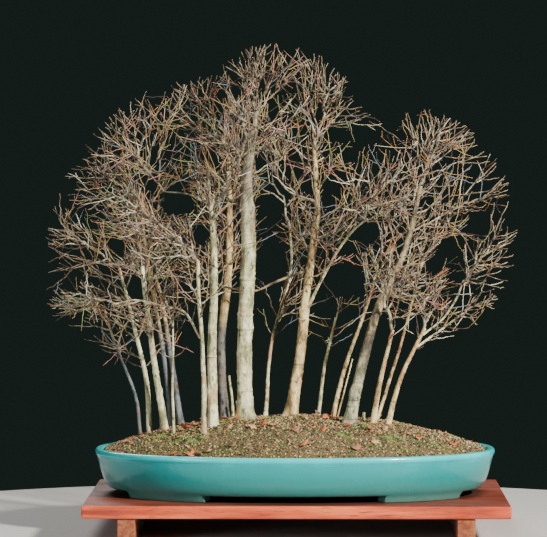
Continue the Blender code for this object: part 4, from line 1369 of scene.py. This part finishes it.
def touches(line, radius, near):
    """Whether a twig along this line would touch a limb."""
    for begin, end, size in near:
        for a, b in zip(line, line[1:]):
            if nearest_gap(a, b, begin, end) < size + radius + 2 * AIR:
                return True
    return False


def own_stem(space):
    """The stem of a mass: from its limb's tip to the middle of its space, then out to the crown's edge."""
    route, sizes = limbs[space.limb]
    ahead = (route[-1] - route[-2]).normalized()
    start = route[-1] + ahead * AIR
    middle = start.lerp(space.centre, 0.75)
    if (space.centre - start).length < 0.5 * min(space.half):
        middle = space.centre + space.outward * 0.2 * min(space.half)
    if ahead.angle(middle - start) > math.radians(SHARPEST_TURN):
        middle += ahead * (middle - start).length * 0.6
    onward = (space.outward + (middle - start).normalized()).normalized()
    tip = middle + onward * space.reach(middle, onward) * 0.98
    return [start, middle, tip]


def side_twig(space, near, start, heading, length, radius):
    """The line of a side twig, made shorter where it would touch a limb or fill a gap, or None."""
    for share in (1.0, 0.7, 0.45):
        first = min(0.5 * length * share, 0.8 * space.reach(start, heading))
        middle = start + heading * first
        lifted = (heading + UP * LIFT).normalized()
        second = min(0.5 * length * share, 0.96 * space.reach(middle, lifted))
        tip = middle + lifted * second
        if first < SHORTEST_TWIG / 2 or second < SHORTEST_TWIG / 2:
            return None
        samples = (middle, middle.lerp(tip, 0.5), tip, start.lerp(middle, 0.5))
        if any(in_sky_gap(point) for point in samples):
            continue
        if not touches((start, middle, tip), radius, near):
            return [start, middle, tip]
    return None


def point_along(line, share):
    """The point at this share of a two-legged line, the line's direction there, and its share in legs."""
    first = (line[1] - line[0]).length
    second = (line[2] - line[1]).length
    run = share * (first + second)
    if run < first:
        return line[0].lerp(line[1], run / first), (line[1] - line[0]).normalized(), 0.5 * run / first
    past = (run - first) / second
    return line[1].lerp(line[2], past), (line[2] - line[1]).normalized(), 0.5 + 0.5 * past


def pair_places(order, length):
    """Where pairs of twigs leave a line, as shares of its length. A mass's own stem also forks at its tip."""
    if order == 1:
        return (*PAIR_PLACES, 0.97)
    count = 2 if length > 2 * PAIR_SPACING else 1
    return [(place + 1) / (count + 1) + 0.04 for place in range(count)]


def between(places):
    """Two places between each pair's place and the next, and two before the first."""
    marks = [0.0, *places]
    return [low + (high - low) * share for low, high in zip(marks, marks[1:]) for share in (0.36, 0.68)]


def crooked_curve(line, order, key):
    """The twig as it is drawn: through the ends and the bend of its line, with small kinks between."""
    chance = random.Random(key + "/kinks")
    curve = smooth_route(line, DRAWN_STEPS[order])
    slack = CROOKED * sum((b - a).length for a, b in zip(line, line[1:]))
    for point in curve[1:-1]:
        point += Vector([chance.gauss(0, 1) for _ in range(3)]) * slack
    return curve


def on_curve(curve, share):
    place = min(max(share, 0.0), 0.9999) * (len(curve) - 1)
    begin = int(place)
    return curve[begin].lerp(curve[begin + 1], place - begin), (curve[begin + 1] - curve[begin]).normalized()


taken = set()


def crowded(point, order):
    """Whether the block round this point already has its twig of that order. If it hasn't, it now has."""
    block = (order, *(math.floor(place / BLOCKS[order]) for place in point))
    if block in taken:
        return True
    taken.add(block)
    return False


class Spray:
    """All the twigs of one mass, or of one limb's side shoots, as drawn."""

    def __init__(self, space, near):
        self.space = space
        self.near = near
        self.old_wood = []
        self.young_wood = []
        self.ends = []

    def grow_pairs(self, line, curve, order, key):
        """Opposite pairs of twigs along a line, each pair turned a quarter from the last."""
        chance = random.Random(key)
        own_length = (line[1] - line[0]).length + (line[2] - line[1]).length
        turn = chance.uniform(0, math.pi)
        places = pair_places(order, own_length)
        for number, share in enumerate(places):
            self.grow_pair(line, curve, order, key, number, share, turn, chance)
        later = random.Random(key + "/between")
        for number, share in enumerate(between(places), len(places)):
            self.grow_pair(line, curve, order, key, number, share, turn + 0.8, later, True)

    def grow_pair(self, line, curve, order, key, number, share, turn, chance, if_room=False):
        own_length = (line[1] - line[0]).length + (line[2] - line[1]).length
        root, ahead, legs = point_along(line, share)
        side = ahead.cross(UP if abs(ahead.z) < 0.9 else Vector((1.0, 0.0, 0.0))).normalized()
        across = ahead.cross(side)
        for hand in (0, 1):
            angle = turn + (number + 2 * hand) * math.pi / 2 + chance.uniform(-0.3, 0.3)
            tilt = math.radians(chance.uniform(*SPREAD_ANGLES[order])) * (0.7 if share > 0.9 else 1)
            out = side * math.cos(angle) + across * math.sin(angle)
            heading = ahead * math.cos(tilt) + out * math.sin(tilt) + self.space.outward * OUTWARD
            heading.normalize()
            room = self.space.reach(root, heading) if order == 1 else own_length * (1.15 - 0.5 * share)
            length = chance.uniform(*LENGTH_SHARES[order]) * room
            grown = side_twig(self.space, self.near, root, heading, length, SOLID_RADII[order])
            if not grown or if_room and (hides_a_stem(grown[1]) or crowded(grown[1], order)):
                continue
            if if_room and chance.random() > 1.4 * growth(grown[1]):
                continue
            name = f"{key}/{number}{hand}"
            drawn = crooked_curve([on_curve(curve, legs)[0], grown[1], grown[2]], order, name)
            self.old_wood.append((drawn, order))
            if order < SOURCE_ORDERS:
                self.grow_pairs(grown, drawn, order + 1, name)
            self.grow_fine(drawn, 3, name, 0)

    def grow_fine(self, curve, order, key, tone):
        """The finer orders: shorter pairs, closer together, out to the buds."""
        chance = random.Random(key + "/fine")
        own_length = sum((b - a).length for a, b in zip(curve, curve[1:]))
        count = max(1, round(own_length / FINE_SPACING[order]))
        turn = chance.uniform(0, math.pi)
        for number in range(count + 1):
            share = min((number + 0.75) / (count + 0.5), 0.985)
            root, ahead = on_curve(curve, share)
            side = ahead.cross(UP if abs(ahead.z) < 0.9 else Vector((1.0, 0.0, 0.0))).normalized()
            across = ahead.cross(side)
            for hand in (0, 1):
                angle = turn + (number + 2 * hand) * math.pi / 2 + chance.uniform(-0.4, 0.4)
                tilt = math.radians(chance.uniform(*FINE_ANGLES)) * (0.6 if share > 0.9 else 1)
                length = chance.uniform(*FINE_LENGTHS[order]) * (1.1 - 0.35 * share)
                if chance.random() > FINE_SHARE[order] * growth(root):
                    continue
                out = side * math.cos(angle) + across * math.sin(angle)
                heading = ahead * math.cos(tilt) + out * math.sin(tilt) + self.space.outward * FINE_OUTWARD
                heading.normalize()
                self.add_fine(root, heading, length, order, f"{key}/{number}{hand}", tone)

    def add_fine(self, root, heading, length, order, key, tone):
        """One fine twig, if there is room for it, and what grows on it."""
        lifted = (heading + UP * FINE_LIFT).normalized()
        middle = root + heading * 0.5 * length
        tip = middle + lifted * 0.5 * length
        if self.space.reach(root, heading, FINE_OVERLAP) < 0.5 * length:
            return
        if self.space.reach(middle, lifted, FINE_OVERLAP) < 0.5 * length:
            return
        if any(in_sky_gap(point) or hides_a_stem(point) for point in (middle, tip)):
            return
        away = root + heading * min(0.003, 0.25 * length)
        if touches((away, middle, tip), DRAWN_RADII[order][0], self.near):
            return
        if crowded(middle, order):
            return
        if order == 3:
            weights = [weight for _, _, weight in TWIG_TONES]
            tone = random.Random(key + "/tone").choices(range(len(weights)), weights)[0]
        curve = crooked_curve([root, middle, tip], order, key)
        self.young_wood.append((curve, order, tone))
        if order < 4:
            self.grow_fine(curve, order + 1, key, tone)
        self.ends.append((curve[-1], (curve[-1] - curve[-2]).normalized()))


def tube_arrays(curves, thick, thin, sides):
    """Corners and faces of many tapering tubes with as many points each, closed at both ends."""
    lines = np.array([[tuple(point) for point in curve] for curve in curves])
    count, points = lines.shape[:2]
    ahead = np.gradient(lines, axis=1)
    ahead /= np.linalg.norm(ahead, axis=2, keepdims=True)
    steep = np.abs(ahead[:, :1, 2:]) > 0.8
    helper = np.where(steep, np.array((1.0, 0.0, 0.0)), np.array((0.0, 0.0, 1.0)))
    side = np.cross(ahead, helper)
    side /= np.linalg.norm(side, axis=2, keepdims=True)
    across = np.cross(ahead, side)
    radii = np.linspace(np.broadcast_to(thick, count), thin, points, axis=1)[:, :, None, None]
    angles = math.tau * np.arange(sides) / sides
    around = side[:, :, None] * np.cos(angles)[:, None] + across[:, :, None] * np.sin(angles)[:, None]
    corners = lines[:, :, None] + radii * around
    ring = np.arange(sides)
    after = (ring + 1) % sides
    base = sides * np.arange(points - 1)[:, None]
    quads = np.stack([base + ring, base + after, base + sides + after, base + sides + ring], axis=-1)
    first = sides * points * np.arange(count)
    quads = quads.reshape(1, -1, 4) + first[:, None, None]
    caps = np.stack([ring[::-1], ring + sides * (points - 1)])[None] + first[:, None, None]
    return corners.reshape(-1, 3), quads.reshape(-1, 4), caps.reshape(-1, sides), (quads.shape[1], 2)


def joined_tubes(name, groups, finishes):
    """One piece of all the tubes. Each group is its curves, two radii, sides and each curve's finish."""
    corners = []
    faces = []
    kinds = []
    total = 0
    for curves, thick, thin, sides, tone in groups:
        points, quads, caps, (per_side, per_cap) = tube_arrays(curves, thick, thin, sides)
        faces += [quads + total, caps + total]
        kinds += [np.repeat(tone, per_side), np.repeat(tone, per_cap)]
        corners.append(points)
        total += len(points)
    piece = joined_piece(name, np.concatenate(corners), faces, np.concatenate(kinds), finishes)
    piece.data.shade_smooth()
    return piece


twig_finishes = [plain_finish(name, colour, 0.65, 700.0) for name, colour, _ in TWIG_TONES]
bud_finishes = [plain_finish(name, colour, 0.5, 900.0) for name, colour, _ in BUD_TONES]
old_barks = [
    bark("side_bough_bark", (0.47, 0.43, 0.29), (0.19, 0.16, 0.10), (0.07, 0.055, 0.04), (0.28, 0.14, 0.09)),
    bark("older_twig_bark", (0.35, 0.28, 0.17), (0.14, 0.10, 0.06), (0.045, 0.034, 0.03), (0.25, 0.12, 0.07)),
]
spaces = {name: Space(name) for name in MASSES}
mass_stems = {name: own_stem(space) for name, space in spaces.items()}

# Side boughs leave the limbs below the masses, at old nodes, and branch as the masses do. On each limb
# they start at a height of their own, are short there and near the tip, and reach this far between.
SIDE_BOUGHS = {
    "stem_01": (0.300, 0.120),
    "stem_02": (0.300, 0.150),
    "stem_03": (0.337, 0.160),
    "stem_04": (0.360, 0.170),
    "stem_05": (0.322, 0.090),
    "stem_06": (0.370, 0.160),
    "stem_07": (0.395, 0.130),
    "stem_08": (0.440, 0.170),
    "stem_09": (0.480, 0.180),
    "main_trunk": (0.610, 0.190),
    "stem_11": (0.364, 0.110),
    "tall_trunk": (0.500, 0.180),
    "stem_12": (0.330, 0.085),
    "stem_13": (0.380, 0.150),
    "leaning_trunk": (0.430, 0.180),
    "stem_14": (0.340, 0.090),
    "stem_15": (0.400, 0.160),
    "stem_16": (0.345, 0.110),
    "right_bough": (0.450, 0.140),
    "inner_bough": (0.600, 0.110),
    "crest_bough": (0.600, 0.150),
    "low_left_bough": (0.400, 0.110),
    "crossing_bough": (0.445, 0.050),
    "lower_arc": (0.360, 0.110),
    "upper_arc": (0.380, 0.130),
    "high_right_bough": (0.480, 0.140),
    "front_bough": (0.600, 0.110),
}
BARE_TIPS = {"stem_03": 0.110, "stem_05": 0.070, "stem_10": 0.090, "stem_12": 0.055}  # limbs under no mass
SIDE_SPACING = 0.018
SIDE_SHARE = 0.85
SIDE_ANGLES = (38, 72)
SPRAYS_TO_A_PIECE = 10


class OpenRoom:
    """The room of a limb's side boughs: anywhere inside the crown's outline."""

    def __init__(self, outward):
        self.outward = outward

    def reach(self, start, heading, overlap=0.0):
        return to_the_edge(start, heading, overlap)


def stretches_round(point, margin, everything):
    """The stretches of limb within this margin of a point, each with its radius."""
    low = [place - margin for place in point]
    high = [place + margin for place in point]
    near = []
    for route, sizes in everything:
        for begin in range(len(route) - 1):
            a, b = route[begin], route[begin + 1]
            if all(max(a[i], b[i]) > low[i] and min(a[i], b[i]) < high[i] for i in range(3)):
                near.append((a, b, max(sizes[begin], sizes[begin + 1])))
    return near


def grow_side_boughs(name):
    """The side boughs of one limb, in opposite pairs, as one spray."""
    lowest, longest = SIDE_BOUGHS[name]
    line, radii, length = even_steps(*drawn_limbs[name], 0.004)
    chance = random.Random(name + "/side boughs")
    turn = chance.uniform(0, math.pi)
    outward = Vector((line[-1].x - CROWN_HEART.x, 0.5 * line[-1].y, 0.14)).normalized()
    others = [limb for other, limb in limbs.items() if other != name]
    others += [(stem, [SOLID_RADII[0]] * 3) for stem in mass_stems.values()]
    spray = Spray(OpenRoom(outward), [])
    run = chance.uniform(0, SIDE_SPACING)
    number = 0
    while run < length - 0.010:
        step = min(int(run / length * (len(line) - 1)), len(line) - 2)
        run += SIDE_SPACING * chance.uniform(0.7, 1.3)
        number += 1
        if line[step].z < lowest:
            continue
        vigour = min(1.0, (line[step].z - lowest) / 0.08 + 0.40) * (1 - 0.3 * run / length)
        ahead = (line[step + 1] - line[step]).normalized()
        side = ahead.cross(Vector((0.0, 1.0, 0.0))).normalized()
        across = ahead.cross(side)
        spray.near = stretches_round(line[step], longest + 0.05, others)
        for hand in (0, 1):
            angle = turn + (number + 2 * hand) * math.pi / 2 + chance.uniform(-0.4, 0.4)
            tilt = math.radians(chance.uniform(*SIDE_ANGLES))
            reach = chance.uniform(0.45, 1.0) * longest * vigour
            if chance.random() > SIDE_SHARE:
                continue
            out = side * math.cos(angle) + across * math.sin(angle)
            heading = (ahead * math.cos(tilt) + out * math.sin(tilt) + outward * OUTWARD).normalized()
            root = line[step] + out * radii[step] * 0.6
            clear = line[step] + out * (radii[step] + 0.002)
            grown = side_twig(spray.space, spray.near, clear, heading, reach, DRAWN_RADII[1][0])
            if not grown:
                continue
            key = f"{name}/side bough {number}{hand}"
            order = 1 if reach > 0.055 else 2
            drawn = crooked_curve([root, grown[1], grown[2]], order, key)
            spray.old_wood.append((drawn, order))
            if order == 1:
                spray.grow_pairs(grown, drawn, 2, key)
            spray.grow_fine(drawn, 3, key, 0)
    if name in BARE_TIPS:
        ahead = (line[-1] - line[-2]).normalized()
        grown = side_twig(spray.space, spray.near, line[-1] + ahead * 0.002, ahead, BARE_TIPS[name], 0.0009)
        key = f"{name}/leader"
        drawn = crooked_curve([line[-1] - ahead * 0.002, grown[1], grown[2]], 1, key)
        spray.old_wood.append((drawn, 1))
        spray.grow_pairs(grown, drawn, 2, key)
        spray.grow_fine(drawn, 3, key, 0)
    return spray


def wood_groups(sprays):
    """What joined_tubes needs for the old wood of these sprays."""
    groups = []
    for order in (1, 2):
        curves = [drawn for spray in sprays for drawn, grade in spray.old_wood if grade == order]
        if curves:
            groups.append((curves, *DRAWN_RADII[order], DRAWN_SIDES[order], [order - 1] * len(curves)))
    return groups


def tip_groups(sprays):
    """What joined_tubes needs for the young wood of these sprays."""
    groups = []
    for order in (3, 4):
        grown = [twig for spray in sprays for twig in spray.young_wood if twig[1] == order]
        if grown:
            curves, _, tone = zip(*grown)
            groups.append((curves, *DRAWN_RADII[order], DRAWN_SIDES[order], list(tone)))
    return groups


side_sprays = [grow_side_boughs(name) for name in SIDE_BOUGHS]
settle(joined_tubes("side_boughs", wood_groups(side_sprays), old_barks), "twigs")
mass_sprays = []
for name, space in spaces.items():
    line = mass_stems[name]
    others = list(limbs.values())
    others += [(stem, [SOLID_RADII[0] * 1.3] * 3) for other, stem in mass_stems.items() if other != name]
    spray = Spray(space, space.stretches_near(line[0], others))
    limb_route, limb_sizes = drawn_limbs[space.limb]
    curve = crooked_curve(line, 0, name)
    spray.grow_pairs(line, curve, 1, name)
    spray.grow_fine(curve, 3, name, 0)
    curve[0] = limb_route[-1] - (limb_route[-1] - limb_route[-2]).normalized() * 0.004
    stem_group = ([curve], limb_sizes[-1] * 1.02, DRAWN_RADII[0][1], DRAWN_SIDES[0], [0])
    settle(joined_tubes(name + "_wood", [stem_group, *wood_groups([spray])], old_barks), "twigs", name)
    mass_sprays.append(spray)

# The young wood of the whole crown, in pieces of a few sprays each.
sprays = side_sprays + mass_sprays
for number, begin in enumerate(range(0, len(sprays), SPRAYS_TO_A_PIECE), 1):
    groups = tip_groups(sprays[begin : begin + SPRAYS_TO_A_PIECE])
    settle(joined_tubes(f"young_twigs_{number}", groups, twig_finishes), "twigs")
twig_ends = [end for spray in sprays for end in spray.ends]


# Buds
# A pointed winter bud closes each fine twig, brown on most and pinkish where it has begun to swell.

BUDS_TO_A_PIECE = 16000

for number, begin in enumerate(range(0, len(twig_ends), BUDS_TO_A_PIECE), 1):
    ends = twig_ends[begin : begin + BUDS_TO_A_PIECE]
    tips = np.array([tuple(end) for end, _ in ends])
    ways = np.array([tuple(way) for _, way in ends])
    steep = np.abs(ways[:, 2:]) > 0.8
    side = np.cross(ways, np.where(steep, np.array((1.0, 0.0, 0.0)), np.array((0.0, 0.0, 1.0))))
    side /= np.linalg.norm(side, axis=1, keepdims=True)
    across = np.cross(ways, side)
    parts = [tips - 0.0006 * ways]
    for step in range(3):
        angle = step * math.tau / 3
        around = side * math.cos(angle) + across * math.sin(angle)
        parts.append(tips + BUD_LENGTH * 0.35 * ways + BUD_RADIUS * around)
    parts.append(tips + BUD_LENGTH * ways)
    bud_corners = np.stack(parts, axis=1).reshape(-1, 3)
    shape = np.array(((0, 2, 1), (0, 3, 2), (0, 1, 3), (1, 2, 4), (2, 3, 4), (3, 1, 4)))
    bud_faces = (shape + 5 * np.arange(len(ends))[:, None, None]).reshape(-1, 3)
    chance = random.Random(f"buds {number}")
    bud_kinds = chance.choices(range(2), [weight for _, _, weight in BUD_TONES], k=len(ends))
    bud_kinds = np.repeat(bud_kinds, len(shape))
    settle(joined_piece(f"winter_buds_{number}", bud_corners, [bud_faces], bud_kinds, bud_finishes), "twigs")


# Floor and light
# A plain pale table top under the stand, with dark behind it, as bare twigs are shown. The key light stands
# high to the right of the camera. A weaker one fills from the left, one lights the pot from low down on the
# left, and one lights the crown from behind.

FLOOR_RADIUS = 1.0
LIGHTS = (
    ("key_light", (2.9, -3.3, 2.3), 0.35, 600.0, (1.0, 0.96, 0.90)),
    ("fill_light", (-3.6, -3.6, 1.8), 0.8, 45.0, (0.92, 0.96, 1.0)),
    ("crown_light", (-1.2, 3.4, 3.0), 1.8, 95.0, (1.0, 0.98, 0.95)),
    ("low_light", (-1.3, -1.7, 0.22), 0.5, 10.0, (0.93, 0.97, 1.0)),
)
LIT_PLACE = Vector((0.0, 0.0, 0.45))

floor_finish, tree, shader = new_finish("pale_floor", 0.7)
shader.inputs["Base Color"].default_value = (0.58, 0.57, 0.55, 1.0)
bm = bmesh.new()
bmesh.ops.create_circle(bm, cap_ends=True, segments=128, radius=FLOOR_RADIUS)
floor_mesh = bpy.data.meshes.new("floor")
bm.to_mesh(floor_mesh)
bm.free()
floor = bpy.data.objects.new("floor", floor_mesh)
floor_mesh.materials.append(floor_finish)
bpy.context.scene.collection.objects.link(floor)

for name, location, size, energy, colour in LIGHTS:
    lamp = bpy.data.lights.new(name, "AREA")
    lamp.size = size
    lamp.energy = energy
    lamp.color = colour
    light = bpy.data.objects.new(name, lamp)
    light.location = location
    light.rotation_euler = (LIT_PLACE - light.location).to_track_quat("-Z", "Y").to_euler()
    light.visible_camera = False
    bpy.context.scene.collection.objects.link(light)

world = bpy.data.worlds.new("studio")
world.use_nodes = True
world.node_tree.nodes["Background"].inputs["Color"].default_value = (0.010, 0.0168, 0.0137, 1.0)
bpy.context.scene.world = world
